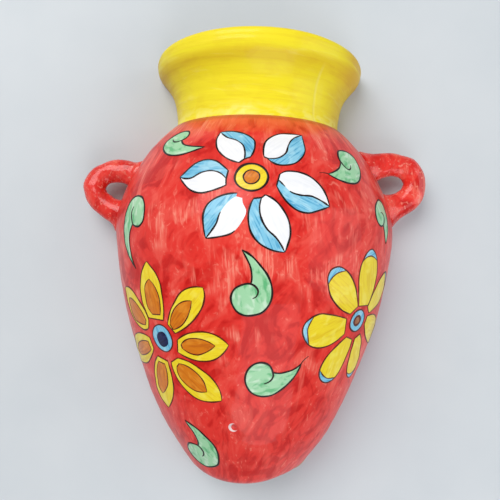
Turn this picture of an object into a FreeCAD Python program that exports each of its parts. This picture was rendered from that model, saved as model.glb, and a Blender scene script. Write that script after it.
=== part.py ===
"""Half-round hanging wall vase of glazed earthenware.

Units are millimetres. +Z is up, the wall is the plane y = 0, and the vase stands out of it towards -Y.
The origin is the centre of the hanging hole, on the back face.

The pot is built as a potter builds it: a thrown belly and a thrown collar are halved, set on a flat
back slab, luted along their seams with soft coils, and two pulled loops become the handles.
"""

import FreeCAD
import Part
import math
import os
from dataclasses import dataclass

# Foot and belly, heights above the foot
FOOT_FLAT_RADIUS = 30.0
FOOT_ROUND_RADIUS = 16.0
FOOT_ROUND_TURN = 57.0  # degrees
BELLY_RADIUS = 101.3
BELLY_HEIGHT = 178.0
SEAT_RADIUS = 62.5
SEAT_HEIGHT = 250.0
WALL_THICKNESS = 6.0
FLOOR_THICKNESS = 8.0

# Collar, from its seat on the belly to the top of its lip
COLLAR_FOOT_RADIUS = 60.5
COLLAR_HEIGHT = 50.0
COLLAR_THICKNESS = 6.0
RIM_RADIUS = 75.8
LIP_THICKNESS = 8.0
LIP_LEAN = 45.0  # degrees from upright

# Back slab and its hanging hole
SLAB_THICKNESS = 7.0
SLAB_EDGE_ROUND = 2.5
HOLE_RADIUS = 4.0
HOLE_BELOW_RIM = 32.0

# Soft coils pressed into the inside corners
SEAM_COIL_SIZE = 5.0
SEAM_COIL_ROUND = 3.5
JOINT_COIL_RADIUS = 4.0

# One overrun serves every cutting tool
OVERRUN = 10.0

# Flank of the belly from the foot's rounding to the widest line: (height share, radius share)
FLANK_SHARES = (
    (0.069, 0.118),
    (0.158, 0.262),
    (0.292, 0.450),
    (0.470, 0.660),
    (0.692, 0.872),
    (0.880, 0.974),
    (1.0, 1.0),
)
# Shoulder from the widest line to the seat: (height share, radius share)
SHOULDER_SHARES = (
    (0.114, 0.018),
    (0.264, 0.088),
    (0.431, 0.208),
    (0.597, 0.375),
    (0.747, 0.556),
    (0.875, 0.757),
    (0.958, 0.911),
    (1.0, 1.0),
)
# Collar from its seat to the lip: (height share, radius share)
COLLAR_SHARES = (
    (0.13, -0.045),
    (0.27, 0.0),
    (0.44, 0.075),
    (0.62, 0.215),
    (0.79, 0.475),
    (0.91, 0.760),
    (1.0, 1.0),
)
# How far up the collar its seam coils run
COLLAR_COIL_SHARE = 0.8

# The part of a handle that counts as its upper half
HALF_SHARE = 0.5

SAMPLES_PER_SPAN = 3
FOOT_SAMPLES = 4
SECTION_POINTS = 12


@dataclass(frozen=True)
class Handle:
    """One loop handle: a flattened coil that lies in a plane parallel to the wall."""

    name: str
    side: int
    top_below_seat: float
    foot_below_seat: float
    overhang: float
    standoff: float
    width: float
    depth: float
    flare_share: float
    route_shares: tuple


LEFT_HANDLE = Handle(
    name="left_handle",
    side=-1,
    top_below_seat=33.7,
    foot_below_seat=64.0,
    overhang=15.9,
    standoff=16.0,
    width=16.3,
    depth=13.5,
    flare_share=0.35,
    route_shares=((0.222, 1.03), (0.549, 1.03), (0.820, 0.91), (1.0, 0.63), (0.849, 0.38), (0.483, 0.20)),
)
RIGHT_HANDLE = Handle(
    name="right_handle",
    side=1,
    top_below_seat=23.5,
    foot_below_seat=54.5,
    overhang=14.5,
    standoff=16.0,
    width=17.0,
    depth=13.5,
    flare_share=0.35,
    route_shares=((0.174, 1.05), (0.532, 1.07), (0.830, 0.97), (1.0, 0.66), (0.830, 0.34), (0.421, 0.14)),
)

TOTAL_HEIGHT = SEAT_HEIGHT + COLLAR_HEIGHT
FOOT_LEVEL = HOLE_BELOW_RIM - TOTAL_HEIGHT
SEAT_LEVEL = FOOT_LEVEL + SEAT_HEIGHT
RIM_LEVEL = FOOT_LEVEL + TOTAL_HEIGHT
REACH = BELLY_RADIUS + RIM_RADIUS + OVERRUN


def between(start, end, share):
    """The value at a share of the way from start to end."""
    return start + share * (end - start)


def point(radius, height, depth=0.0):
    """A point at a radius along X, a height above the foot and a depth along Y."""
    return FreeCAD.Vector(radius, depth, FOOT_LEVEL + height)


def on_axis(level):
    """The point of the pot's axis at a level."""
    return FreeCAD.Vector(0.0, 0.0, level)


def line(start, end):
    """A straight edge."""
    return Part.LineSegment(start, end).toShape()


def spline(points):
    """A smooth curve through points."""
    curve = Part.BSplineCurve()
    curve.interpolate(points)
    return curve


def start_of(curve):
    """The first point of a curve."""
    return curve.value(curve.FirstParameter)


def end_of(curve):
    """The last point of a curve."""
    return curve.value(curve.LastParameter)


def run_on(before, last, level):
    """Where the line from one point through the last one reaches a level."""
    slope = last - before
    return last + slope * ((level - last.z) / slope.z)


def heading(degrees):
    """The direction in the XZ plane that leans outwards from upright by an angle."""
    angle = math.radians(degrees)
    return FreeCAD.Vector(math.sin(angle), 0.0, math.cos(angle))


def inward(direction):
    """The unit normal of a profile that runs upwards, pointing into the vase."""
    return FreeCAD.Vector(-direction.z, 0.0, direction.x).normalize()


def foot_point(turn, cut=0.0):
    """A point on the foot's rounding after a turn in degrees, moved inwards by cut."""
    angle = math.radians(turn)
    radius = FOOT_ROUND_RADIUS - cut
    return point(
        FOOT_FLAT_RADIUS + radius * math.sin(angle),
        FOOT_ROUND_RADIUS - radius * math.cos(angle),
    )


def belly_outer_curve():
    """The outside of the belly from the end of the foot's rounding to the collar's seat."""
    start = foot_point(FOOT_ROUND_TURN)
    start_height = start.z - FOOT_LEVEL
    points = [start]
    for height_share, radius_share in FLANK_SHARES:
        radius = between(start.x, BELLY_RADIUS, radius_share)
        points.append(point(radius, between(start_height, BELLY_HEIGHT, height_share)))
    for height_share, radius_share in SHOULDER_SHARES:
        radius = between(BELLY_RADIUS, SEAT_RADIUS, radius_share)
        points.append(point(radius, between(BELLY_HEIGHT, SEAT_HEIGHT, height_share)))
    return spline(points)


def offset_points(curve, spans, start_cut, end_cut):
    """Points inside a profile curve, whose distance from it runs from start_cut to end_cut."""
    steps = spans * SAMPLES_PER_SPAN
    found = []
    for step in range(steps + 1):
        share = step / steps
        place = between(curve.FirstParameter, curve.LastParameter, share)
        normal = inward(curve.tangent(place)[0])
        found.append(curve.value(place) + normal * between(start_cut, end_cut, share))
    return found


def belly_inside_points(extra=0.0):
    """Points up the belly's inside from the floor's edge, moved further inwards by extra."""
    points = []
    for step in range(FOOT_SAMPLES):
        share = step / FOOT_SAMPLES
        cut = between(FLOOR_THICKNESS, WALL_THICKNESS, share)
        points.append(foot_point(share * FOOT_ROUND_TURN, cut + extra))
    spans = len(FLANK_SHARES) + len(SHOULDER_SHARES)
    cut = WALL_THICKNESS + extra
    return points + offset_points(belly_outer_curve(), spans, cut, cut)


def belly_inner_curve():
    """The smooth inside of the belly's wall, from the floor's edge up to the collar's seat."""
    points = belly_inside_points()
    return spline(points + [run_on(points[-2], points[-1], SEAT_LEVEL)])


def lip_centre():
    """The middle of the rounded lip."""
    return point(RIM_RADIUS - LIP_THICKNESS / 2, TOTAL_HEIGHT - LIP_THICKNESS / 2)


def collar_outer_curve():
    """The outside of the collar from its seat to where the lip's rounding begins."""
    end = lip_centre() - inward(heading(LIP_LEAN)) * (LIP_THICKNESS / 2)
    points = [point(COLLAR_FOOT_RADIUS, SEAT_HEIGHT)]
    for height_share, radius_share in COLLAR_SHARES:
        radius = between(COLLAR_FOOT_RADIUS, end.x, radius_share)
        points.append(point(radius, between(SEAT_HEIGHT, end.z - FOOT_LEVEL, height_share)))
    return spline(points)


def collar_inside_points(extra=0.0):
    """Points up the collar's inside from its seat, moved further inwards by extra."""
    spans = len(COLLAR_SHARES)
    points = offset_points(
        collar_outer_curve(), spans, COLLAR_THICKNESS + extra, LIP_THICKNESS + extra
    )
    points[0] = run_on(points[2], points[1], SEAT_LEVEL)
    return points


def front_half(edges):
    """The solid that a closed profile sweeps in half a turn in front of the wall."""
    profile = Part.Face(Part.Wire(Part.__sortEdges__(edges)))
    return profile.revolve(on_axis(0.0), FreeCAD.Vector(0.0, 0.0, -1.0), 180.0)


def layer(front, back):
    """A block that spans the whole vase between two distances from the wall."""
    corner = FreeCAD.Vector(-REACH, -front, FOOT_LEVEL - OVERRUN)
    return Part.makeBox(2 * REACH, front - back, TOTAL_HEIGHT + 2 * OVERRUN, corner)


def foot_edges():
    """The outside of the foot: its flat and its rounding."""
    edge = foot_point(0.0)
    rounding = Part.Arc(edge, foot_point(FOOT_ROUND_TURN / 2), foot_point(FOOT_ROUND_TURN))
    return [line(on_axis(FOOT_LEVEL), edge), rounding.toShape()]


def filled_belly():
    """The belly as if it were solid clay."""
    outer = belly_outer_curve()
    top = end_of(outer)
    closing = [line(top, on_axis(top.z)), line(on_axis(top.z), on_axis(FOOT_LEVEL))]
    return front_half(foot_edges() + [outer.toShape()] + closing)


def filled_collar():
    """The collar as if it were solid clay."""
    outer = collar_outer_curve()
    centre = lip_centre()
    crest = centre + FreeCAD.Vector(0.0, 0.0, LIP_THICKNESS / 2)
    side = centre + heading((LIP_LEAN + 90.0) / 2) * (LIP_THICKNESS / 2)
    rounding = Part.Arc(end_of(outer), side, crest).toShape()
    closing = [
        line(crest, on_axis(crest.z)),
        line(on_axis(crest.z), on_axis(SEAT_LEVEL)),
        line(on_axis(SEAT_LEVEL), start_of(outer)),
    ]
    return front_half([outer.toShape(), rounding] + closing)


def make_belly():
    """The thrown belly: foot, floor, flank and shoulder."""
    outer, inner = belly_outer_curve(), belly_inner_curve()
    floor_edge = start_of(inner)
    closing = [
        line(end_of(outer), end_of(inner)),
        line(floor_edge, on_axis(floor_edge.z)),
        line(on_axis(floor_edge.z), on_axis(FOOT_LEVEL)),
    ]
    wall = front_half(foot_edges() + [outer.toShape(), inner.toShape()] + closing)
    return wall.common(layer(REACH, SLAB_THICKNESS))


def make_collar():
    """The thrown collar with its flared mouth and rounded lip."""
    outer, inner = collar_outer_curve(), spline(collar_inside_points())
    tip = lip_centre() + heading(LIP_LEAN) * (LIP_THICKNESS / 2)
    rounding = Part.Arc(end_of(outer), tip, end_of(inner)).toShape()
    seat = line(start_of(outer), start_of(inner))
    wall = front_half([outer.toShape(), inner.toShape(), rounding, seat])
    return wall.common(layer(REACH, SLAB_THICKNESS))


def slab_blank():
    """A plate across the whole vase, as thick as the slab, whose top edges are rounded."""
    round_radius = min(SLAB_EDGE_ROUND, SLAB_THICKNESS / 3)
    slant = round_radius * math.sqrt(0.5)
    shoulder = RIM_LEVEL - round_radius
    bottom = FOOT_LEVEL - OVERRUN

    def corner(depth, level):
        """A point of the plate's section."""
        return FreeCAD.Vector(-REACH, -depth, level)

    def rounding(edge, middle):
        """The round between the plate's top and a face at a depth, whose middle is at another depth."""
        half_way = corner(middle + (edge - middle) * math.sqrt(0.5), shoulder + slant)
        return Part.Arc(corner(edge, shoulder), half_way, corner(middle, RIM_LEVEL)).toShape()

    front_middle = SLAB_THICKNESS - round_radius
    edges = [
        line(corner(0.0, bottom), corner(0.0, shoulder)),
        rounding(0.0, round_radius),
        line(corner(round_radius, RIM_LEVEL), corner(front_middle, RIM_LEVEL)),
        rounding(SLAB_THICKNESS, front_middle),
        line(corner(SLAB_THICKNESS, shoulder), corner(SLAB_THICKNESS, bottom)),
        line(corner(SLAB_THICKNESS, bottom), corner(0.0, bottom)),
    ]
    section = Part.Face(Part.Wire(Part.__sortEdges__(edges)))
    return section.extrude(FreeCAD.Vector(2 * REACH, 0.0, 0.0))


def make_back_slab():
    """The flat back, trimmed flush with the thrown halves and pierced by the hanging hole."""
    blank = slab_blank()
    slab = filled_belly().common(blank).fuse(filled_collar().common(blank)).removeSplitter()
    start = FreeCAD.Vector(0.0, -SLAB_THICKNESS - OVERRUN, 0.0)
    length = SLAB_THICKNESS + 2 * OVERRUN
    hole = Part.makeCylinder(HOLE_RADIUS, length, start, FreeCAD.Vector(0.0, 1.0, 0.0))
    return slab.cut(hole)


def belly_radius_at(height):
    """The outside radius of the belly at a height above the foot."""
    level = FOOT_LEVEL + height
    crossing = Part.Line(on_axis(level), FreeCAD.Vector(REACH, 0.0, level))
    return max(place.X for place in belly_outer_curve().intersectCC(crossing))


def handle_route(handle):
    """The handle's centre line, which goes on into the belly at both ends."""
    top = SEAT_HEIGHT - handle.top_below_seat
    foot = SEAT_HEIGHT - handle.foot_below_seat

    def on_belly(height):
        """The place on the belly's outside that the centre line passes at a height."""
        reach = math.sqrt(belly_radius_at(height) ** 2 - handle.standoff**2)
        return point(reach, height, -handle.standoff)

    upper_joint, lower_joint = on_belly(top), on_belly(foot)
    outermost = BELLY_RADIUS + handle.overhang
    route = [upper_joint]
    for reach_share, height_share in handle.route_shares:
        joint = upper_joint if height_share > HALF_SHARE else lower_joint
        reach = between(joint.x, outermost, reach_share)
        route.append(point(reach, between(foot, top, height_share), -handle.standoff))
    route.append(lower_joint)
    root_top = route[0] + (route[0] - route[1]).normalize() * handle.width
    root_foot = route[-1] + (route[-1] - route[-2]).normalize() * handle.width
    return spline([root_top] + route + [root_foot])


def handle_section(centre, along, width, depth):
    """A closed oval round the handle's route, width across it and depth along Y."""
    across = FreeCAD.Vector(0.0, 1.0, 0.0).cross(along).normalize()
    points = []
    for step in range(SECTION_POINTS):
        angle = 2 * math.pi * step / SECTION_POINTS
        sideways = across * (width / 2 * math.cos(angle))
        points.append(centre + sideways + FreeCAD.Vector(0.0, depth / 2 * math.sin(angle), 0.0))
    oval = Part.BSplineCurve()
    oval.interpolate(Points=points, PeriodicFlag=True)
    return Part.Wire(oval.toShape())


def make_handle(handle, solid_belly):
    """A pulled loop whose flared ends sit on the belly's outside."""
    route = handle_route(handle)
    sections = []
    steps = SAMPLES_PER_SPAN * len(handle.route_shares)
    for step in range(steps + 1):
        share = step / steps
        place = between(route.FirstParameter, route.LastParameter, share)
        swell = 1 + handle.flare_share * abs(2 * share - 1) ** 4
        along = route.tangent(place)[0]
        width, depth = handle.width * swell, handle.depth * swell
        sections.append(handle_section(route.value(place), along, width, depth))
    loop = Part.makeLoft(sections, True, False)
    if handle.side < 0:
        loop = loop.mirror(on_axis(0.0), FreeCAD.Vector(1.0, 0.0, 0.0))
    return loop.cut(solid_belly)


def sparse(points):
    """Fewer of the points along a long line, with both its ends."""
    return points[:1] + points[2:-1:SAMPLES_PER_SPAN] + points[-1:]


def seam_coil(outside, inside, closing, wall):
    """A coil in the corner of the slab and a wall, with its free edge pressed round."""
    front = SLAB_THICKNESS + SEAM_COIL_SIZE
    band = front_half([outside.toShape(), inside.toShape()] + closing)
    coil = band.common(layer(front, SLAB_THICKNESS)).cut(wall)
    free_edges = []
    for edge in coil.Edges:
        in_front = edge.BoundBox.YMax < -SLAB_THICKNESS - SEAM_COIL_SIZE / 2
        along_wall = edge.distToShape(wall)[0] < SEAM_COIL_SIZE / 2
        if in_front and not along_wall:
            free_edges.append(edge)
    return coil.makeFillet(min(SEAM_COIL_ROUND, SEAM_COIL_SIZE * 2 / 3), free_edges)


def make_belly_back_coil(belly):
    """The coil along the whole seam of belly and back, across the floor too."""
    outside = spline(sparse(belly_inside_points(-WALL_THICKNESS / 2)))
    inside = spline(sparse(belly_inside_points(SEAM_COIL_SIZE)))
    low_outside, low_inside = start_of(outside), start_of(inside)
    closing = [
        line(low_outside, on_axis(low_outside.z)),
        line(on_axis(low_outside.z), on_axis(low_inside.z)),
        line(on_axis(low_inside.z), low_inside),
        line(end_of(outside), end_of(inside)),
    ]
    return seam_coil(outside, inside, closing, belly)


def make_collar_back_coils(collar):
    """The two coils between collar and back, one up each side."""
    count = int(COLLAR_COIL_SHARE * len(COLLAR_SHARES) * SAMPLES_PER_SPAN)
    outside = spline(collar_inside_points(-COLLAR_THICKNESS / 2)[:count])
    inside = spline(collar_inside_points(SEAM_COIL_SIZE)[:count])
    closing = [line(start_of(outside), start_of(inside)), line(end_of(outside), end_of(inside))]
    return seam_coil(outside, inside, closing, collar)


def make_collar_joint_coil(neighbours):
    """The half ring pressed over the joint of collar and belly, inside the pot."""
    centre = start_of(spline(collar_inside_points()))
    circle = Part.Circle(centre, FreeCAD.Vector(0.0, 1.0, 0.0), JOINT_COIL_RADIUS)
    ring = front_half([circle.toShape()]).common(layer(REACH, SLAB_THICKNESS))
    for neighbour in neighbours:
        ring = ring.cut(neighbour)
    return ring


def main():
    """Build every piece and write it to its own file."""
    os.makedirs("parts", exist_ok=True)
    belly, collar, solid_belly = make_belly(), make_collar(), filled_belly()
    belly_back_coil = make_belly_back_coil(belly)
    collar_back_coils = make_collar_back_coils(collar)
    pieces = {
        "belly": belly,
        "collar": collar,
        "back_slab": make_back_slab(),
        "left_handle": make_handle(LEFT_HANDLE, solid_belly),
        "right_handle": make_handle(RIGHT_HANDLE, solid_belly),
        "belly_back_coil": belly_back_coil,
        "collar_back_coils": collar_back_coils,
        "collar_joint_coil": make_collar_joint_coil(
            [belly, collar, belly_back_coil, collar_back_coils]
        ),
    }
    for name, shape in pieces.items():
        print(name, len(shape.Solids), round(shape.Volume), shape.isValid())
        shape.exportStep(f"parts/{name}.step")


main()
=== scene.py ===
"""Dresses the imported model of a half-round hanging wall vase: thrown and luted forms, brushed glazes, painted
flowers and scrolls, a floor, soft light and the camera. Sizes are in millimetres until a mesh is finished.
"""

import bisect
import logging
import math
from collections.abc import Callable, Iterable, Sequence
from dataclasses import dataclass, field
from enum import Enum, IntEnum

import bmesh
import bpy
from mathutils import Matrix, Vector, noise


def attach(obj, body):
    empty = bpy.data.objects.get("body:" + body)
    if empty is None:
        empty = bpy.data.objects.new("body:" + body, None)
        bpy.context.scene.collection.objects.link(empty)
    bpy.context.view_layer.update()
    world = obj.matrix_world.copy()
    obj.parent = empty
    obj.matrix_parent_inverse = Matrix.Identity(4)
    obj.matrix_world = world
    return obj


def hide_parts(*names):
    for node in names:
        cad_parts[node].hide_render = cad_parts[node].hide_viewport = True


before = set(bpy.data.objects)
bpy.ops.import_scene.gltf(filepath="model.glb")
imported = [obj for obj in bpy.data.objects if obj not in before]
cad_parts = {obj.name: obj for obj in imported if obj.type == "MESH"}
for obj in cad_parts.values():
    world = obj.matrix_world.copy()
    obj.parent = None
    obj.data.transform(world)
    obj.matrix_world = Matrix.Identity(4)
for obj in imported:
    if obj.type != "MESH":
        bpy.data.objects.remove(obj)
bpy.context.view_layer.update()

LOG = logging.getLogger("wall_vase")
MM = 0.001
Pair = tuple[float, float]
Triple = tuple[float, float, float]
Colour = tuple[float, float, float]


class Slot(Enum):
    """The record's material slots."""

    RED = "red_glaze"
    YELLOW = "yellow_glaze"
    CLAY = "bare_clay"
    LINER = "liner_glaze"


class Way(Enum):
    """The side of a petal that its second colour lies on, looking from the flower's middle outwards."""

    LEFT = "left"
    RIGHT = "right"


class SlabSide(IntEnum):
    """The parts of the back slab's surface, in the order of their materials."""

    BACK = 0
    INSIDE = 1
    BELLY_EDGE = 2
    COLLAR_EDGE = 3


# Curves and the pot's outline


def ramp(value: float, start: float, end: float) -> float:
    """How far a value has come from a start to an end, kept between 0 and 1."""
    return min(1.0, max(0.0, (value - start) / (end - start)))


class Path:
    """A smooth curve in a plane through given points."""

    def __init__(self, points: Sequence[Pair]) -> None:
        """Keep the points and work out the curve's direction at each.

        Args:
            points: The places that the curve passes, in order.
        """
        self.points = [Vector(point) for point in points]
        self.knots = [0.0]
        for before, after in zip(self.points, self.points[1:]):
            self.knots.append(self.knots[-1] + (after - before).length)
        self.slopes = [self._slope(index) for index in range(len(self.points))]

    @property
    def length(self) -> float:
        """How long the curve is, from point to point."""
        return self.knots[-1]

    def _slope(self, index: int) -> Vector:
        """The direction at a point, from the parabola through it and its neighbours.

        Args:
            index: The point's place in the list.

        Returns:
            The change of place for one unit along the curve.
        """
        last = len(self.points) - 1
        if last == 1:
            return (self.points[1] - self.points[0]) / self.length
        middle = min(max(index, 1), last - 1)
        before = self.knots[middle] - self.knots[middle - 1]
        after = self.knots[middle + 1] - self.knots[middle]
        rise_before = (self.points[middle] - self.points[middle - 1]) / before
        rise_after = (self.points[middle + 1] - self.points[middle]) / after
        slope = (rise_before * after + rise_after * before) / (before + after)
        if index == 0:
            return rise_before * 2 - slope
        if index == last:
            return rise_after * 2 - slope
        return slope

    def at(self, place: float) -> Vector:
        """The point of the curve at a distance from its start."""
        return self._blend(place, False)

    def heading(self, place: float) -> Vector:
        """The unit direction of the curve at a distance from its start."""
        return self._blend(place, True).normalized()

    def _blend(self, place: float, want_slope: bool) -> Vector:
        """The cubic between the two points that stand round a place.

        Args:
            place: The distance from the curve's start.
            want_slope: Whether the direction is asked for and not the point.

        Returns:
            The point or the direction there.
        """
        index = min(max(bisect.bisect_right(self.knots, place) - 1, 0), len(self.points) - 2)
        span = self.knots[index + 1] - self.knots[index]
        t = (place - self.knots[index]) / span
        first, last = self.points[index], self.points[index + 1]
        ends = (first, self.slopes[index] * span, last, self.slopes[index + 1] * span)
        if want_slope:
            weights = (6 * t * t - 6 * t, 3 * t * t - 4 * t + 1, 6 * t - 6 * t * t, 3 * t * t - 2 * t)
        else:
            weights = (
                2 * t**3 - 3 * t * t + 1,
                t**3 - 2 * t * t + t,
                3 * t * t - 2 * t**3,
                t**3 - t * t,
            )
        total = Vector((0.0, 0.0))
        for weight, end in zip(weights, ends):
            total += end * weight
        return total

    def place_at_height(self, height: float) -> float:
        """Where along a rising curve it comes to a height.

        Args:
            height: The height, measured as the points are.

        Returns:
            The distance from the curve's start.
        """
        low, high = 0.0, self.length
        for _ in range(40):
            middle = (low + high) / 2
            low, high = (middle, high) if self.at(middle).y < height else (low, middle)
        return low

    def samples(self, step: float) -> list[Vector]:
        """Points along the whole curve, about a step apart."""
        count = max(2, math.ceil(self.length / step))
        return [self.at(self.length * index / count) for index in range(count + 1)]


def arc(centre: Pair, radius: float, start: float, end: float, count: int) -> list[Vector]:
    """Points on a round, between two angles from the first axis.

    Args:
        centre: The middle of the round.
        radius: Its radius.
        start: The first angle in degrees.
        end: The last angle in degrees.
        count: The number of steps.

    Returns:
        The points, both ends among them.
    """
    points = []
    for index in range(count + 1):
        angle = math.radians(start + (end - start) * index / count)
        points.append(Vector((centre[0] + radius * math.cos(angle), centre[1] + radius * math.sin(angle))))
    return points


def inset(path: Path, place: float, depth: float) -> Vector:
    """The point a depth inside a rising outline, square to it."""
    heading = path.heading(place)
    return path.at(place) + Vector((-heading.y, heading.x)) * depth


@dataclass(frozen=True)
class Outline:
    """The pot's outline as (radius, height above the foot), with its walls."""

    hole_height: float = 268.0
    foot_radius: float = 30.0
    foot_round: float = 16.0
    foot_turn: float = 57.0
    seat_height: float = 250.0
    wall: float = 6.0
    floor: float = 8.0
    lip_centre: Pair = (71.8, 296.0)
    lip_radius: float = 4.0
    seam: float = 7.0
    belly_points: tuple[Pair, ...] = (
        (43.4, 7.3), (51.0, 19.1), (60.2, 34.3), (71.3, 57.1), (82.6, 87.5), (93.9, 125.4), (99.8, 157.5),
        (101.3, 178.0), (100.6, 186.2), (97.9, 197.0), (93.2, 209.0), (86.8, 221.0), (79.7, 231.8),
        (71.9, 241.0), (66.0, 247.0), (62.5, 250.0),
    )
    collar_points: tuple[Pair, ...] = (
        (60.9, 250.0), (59.9, 255.6), (60.5, 261.7), (61.8, 269.0), (64.7, 276.8), (69.8, 283.6),
        (73.8, 288.5), (75.3, 292.7),
    )

    def belly(self) -> Path:
        """The outside of the belly from the foot's rounding to the collar."""
        return Path(self.belly_points)

    def collar(self) -> Path:
        """The outside of the collar up to the lip."""
        return Path(self.collar_points)

    def foot(self, cut: float = 0.0) -> list[Vector]:
        """The foot's flat and rounding, moved inwards by a cut.

        Args:
            cut: How far inside the outside the line runs.

        Returns:
            Its points, from the axis outwards.
        """
        flat = [Vector((self.foot_radius * share / 3, cut)) for share in range(3)]
        centre = (self.foot_radius, self.foot_round)
        return flat + arc(centre, self.foot_round - cut, -90.0, self.foot_turn - 90.0, 6)

    def lip(self, end: float, count: int) -> list[Vector]:
        """The lip's rounding, from the collar's outside to an angle."""
        return arc(self.lip_centre, self.lip_radius, -45.0, end, count)


POT = Outline()
BELLY = POT.belly()
COLLAR = POT.collar()


@dataclass(frozen=True)
class HandMarks:
    """How far the potter's hands left the walls from a true round.

    Azimuths are angles from the front in radians, and heights are above the foot.
    """

    swell: float = 0.55
    ripple: float = 0.22
    rings: float = 0.05
    collar_swell: float = 0.6
    collar_rings: float = 0.10
    rim_rise: float = 2.2
    rim_fall: float = 1.2
    foot_rise: float = 1.4
    foot_tilt: float = 2.9
    foot_curl: float = 5.0
    foot_limit: float = 5.2
    foot_reach: Pair = (43.0, 45.0)

    def belly_out(self, azimuth: float, height: float) -> float:
        """How far the belly stands out, which dies away at the seams, the foot and the joint.

        Args:
            azimuth: Where on the belly.
            height: How high on it.

        Returns:
            The distance, out of the wall.
        """
        across, forward = math.sin(azimuth), math.cos(azimuth)
        swell = noise.noise(Vector((across * 2.2, forward * 2.2, height / 45)))
        ripple = noise.noise(Vector((across * 6.0, forward * 6.0, height / 14)))
        rings = math.sin(height / 1.5 + azimuth * 1.7)
        fade = ramp(forward, 0.09, 0.29) * ramp(height, 9.0, 27.0) * ramp(height, 248.0, 234.0)
        return (self.swell * swell + self.ripple * ripple + self.rings * rings) * fade

    def collar_out(self, azimuth: float, height: float) -> float:
        """How far the collar stands out, with its throwing rings.

        Args:
            azimuth: Where on the collar.
            height: How high on it.

        Returns:
            The distance, away from the axis.
        """
        across, forward = math.sin(azimuth), math.cos(azimuth)
        swell = noise.noise(Vector((across * 2.0, forward * 2.0, height / 40 + 9)))
        rings = math.sin(height / 1.1 + azimuth)
        fade = ramp(forward, 0.12, 0.32) * ramp(height, 249.5, 257.5)
        return (self.collar_swell * swell + self.collar_rings * rings) * fade

    def rim_up(self, azimuth: float, height: float) -> float:
        """How far the mouth was pulled up in front and has sunk at the sides.

        Args:
            azimuth: Where on the collar.
            height: How high on it.

        Returns:
            The distance, upwards.
        """
        share = ramp(height, POT.seat_height, 300.0)
        forward = max(0.0, math.cos(azimuth))
        fall = self.rim_fall * (1 - forward) * ramp(forward, 0.0, 0.12)
        return share * share * (self.rim_rise * forward - fall)

    def foot_up(self, azimuth: float, radius: float, height: float) -> float:
        """How far the foot's front edge was rounded up, most of all on the right.

        Args:
            azimuth: Where on the foot.
            radius: The distance from the axis.
            height: How high on the foot or the belly.

        Returns:
            The distance, upwards.
        """
        share = max(0.0, 1 - height / self.foot_reach[1]) * min(1.0, radius / self.foot_reach[0])
        across = math.sin(azimuth)
        rise = self.foot_rise + self.foot_tilt * across + self.foot_curl * across * across
        return min(self.foot_limit, rise) * share * share * ramp(math.cos(azimuth), 0.0, 0.5)


HAND = HandMarks()


def on_belly(azimuth: float, place: float, lift: float) -> Vector:
    """A point on or over the belly's outside, in millimetres of the row frame.

    Args:
        azimuth: The angle from the front in radians.
        place: The distance up the belly's outline.
        lift: The height over the surface.

    Returns:
        The point.
    """
    centre = BELLY.at(place)
    heading = BELLY.heading(place)
    out = lift + HAND.belly_out(azimuth, centre.y)
    radius = centre.x + heading.y * out
    height = centre.y - heading.x * out + HAND.foot_up(azimuth, centre.x, centre.y)
    return Vector((radius * math.sin(azimuth), -radius * math.cos(azimuth), height - POT.hole_height))


def azimuth_of(point: Vector) -> float:
    """The angle of a point from the front, in radians to the right."""
    return math.atan2(point.x, -point.y)


# Materials


class Value:
    """One output of a material's nodes, used like a number."""

    def __init__(self, tree: bpy.types.NodeTree, socket: bpy.types.NodeSocket) -> None:
        """Keep the socket and the tree that it belongs to."""
        self.tree = tree
        self.socket = socket

    def math(self, operation: str, *given: "Value | float") -> "Value":
        """Add a Math node.

        Args:
            operation: The node's operation.
            given: Its inputs, in order.

        Returns:
            The result.
        """
        node = self.tree.nodes.new("ShaderNodeMath")
        node.operation = operation
        for socket, value in zip(node.inputs, given):
            feed(self.tree, socket, value)
        return Value(self.tree, node.outputs[0])

    def __add__(self, other: "Value | float") -> "Value":
        """This plus another."""
        return self.math("ADD", self, other)

    def __radd__(self, other: float) -> "Value":
        """A number plus this."""
        return self.math("ADD", other, self)

    def __sub__(self, other: "Value | float") -> "Value":
        """This less another."""
        return self.math("SUBTRACT", self, other)

    def __rsub__(self, other: float) -> "Value":
        """A number less this."""
        return self.math("SUBTRACT", other, self)

    def __mul__(self, other: "Value | float") -> "Value":
        """This times another."""
        return self.math("MULTIPLY", self, other)

    def __truediv__(self, other: "Value | float") -> "Value":
        """This over another."""
        return self.math("DIVIDE", self, other)

    def __pow__(self, power: float) -> "Value":
        """This to a power."""
        return self.math("POWER", self, power)

    def __abs__(self) -> "Value":
        """This without its sign."""
        return self.math("ABSOLUTE", self)


def feed(
    tree: bpy.types.NodeTree, socket: bpy.types.NodeSocket, value: "Value | float | Sequence[float]"
) -> None:
    """Link a value to a socket, or set the socket to a constant.

    Args:
        tree: The material's nodes.
        socket: The input.
        value: What it gets: a link, a number or a colour.
    """
    if isinstance(value, Value):
        tree.links.new(value.socket, socket)
    elif isinstance(value, (int, float)):
        socket.default_value = value
    else:
        socket.default_value = (*value, 1.0) if socket.type == "RGBA" else tuple(value)


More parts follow.
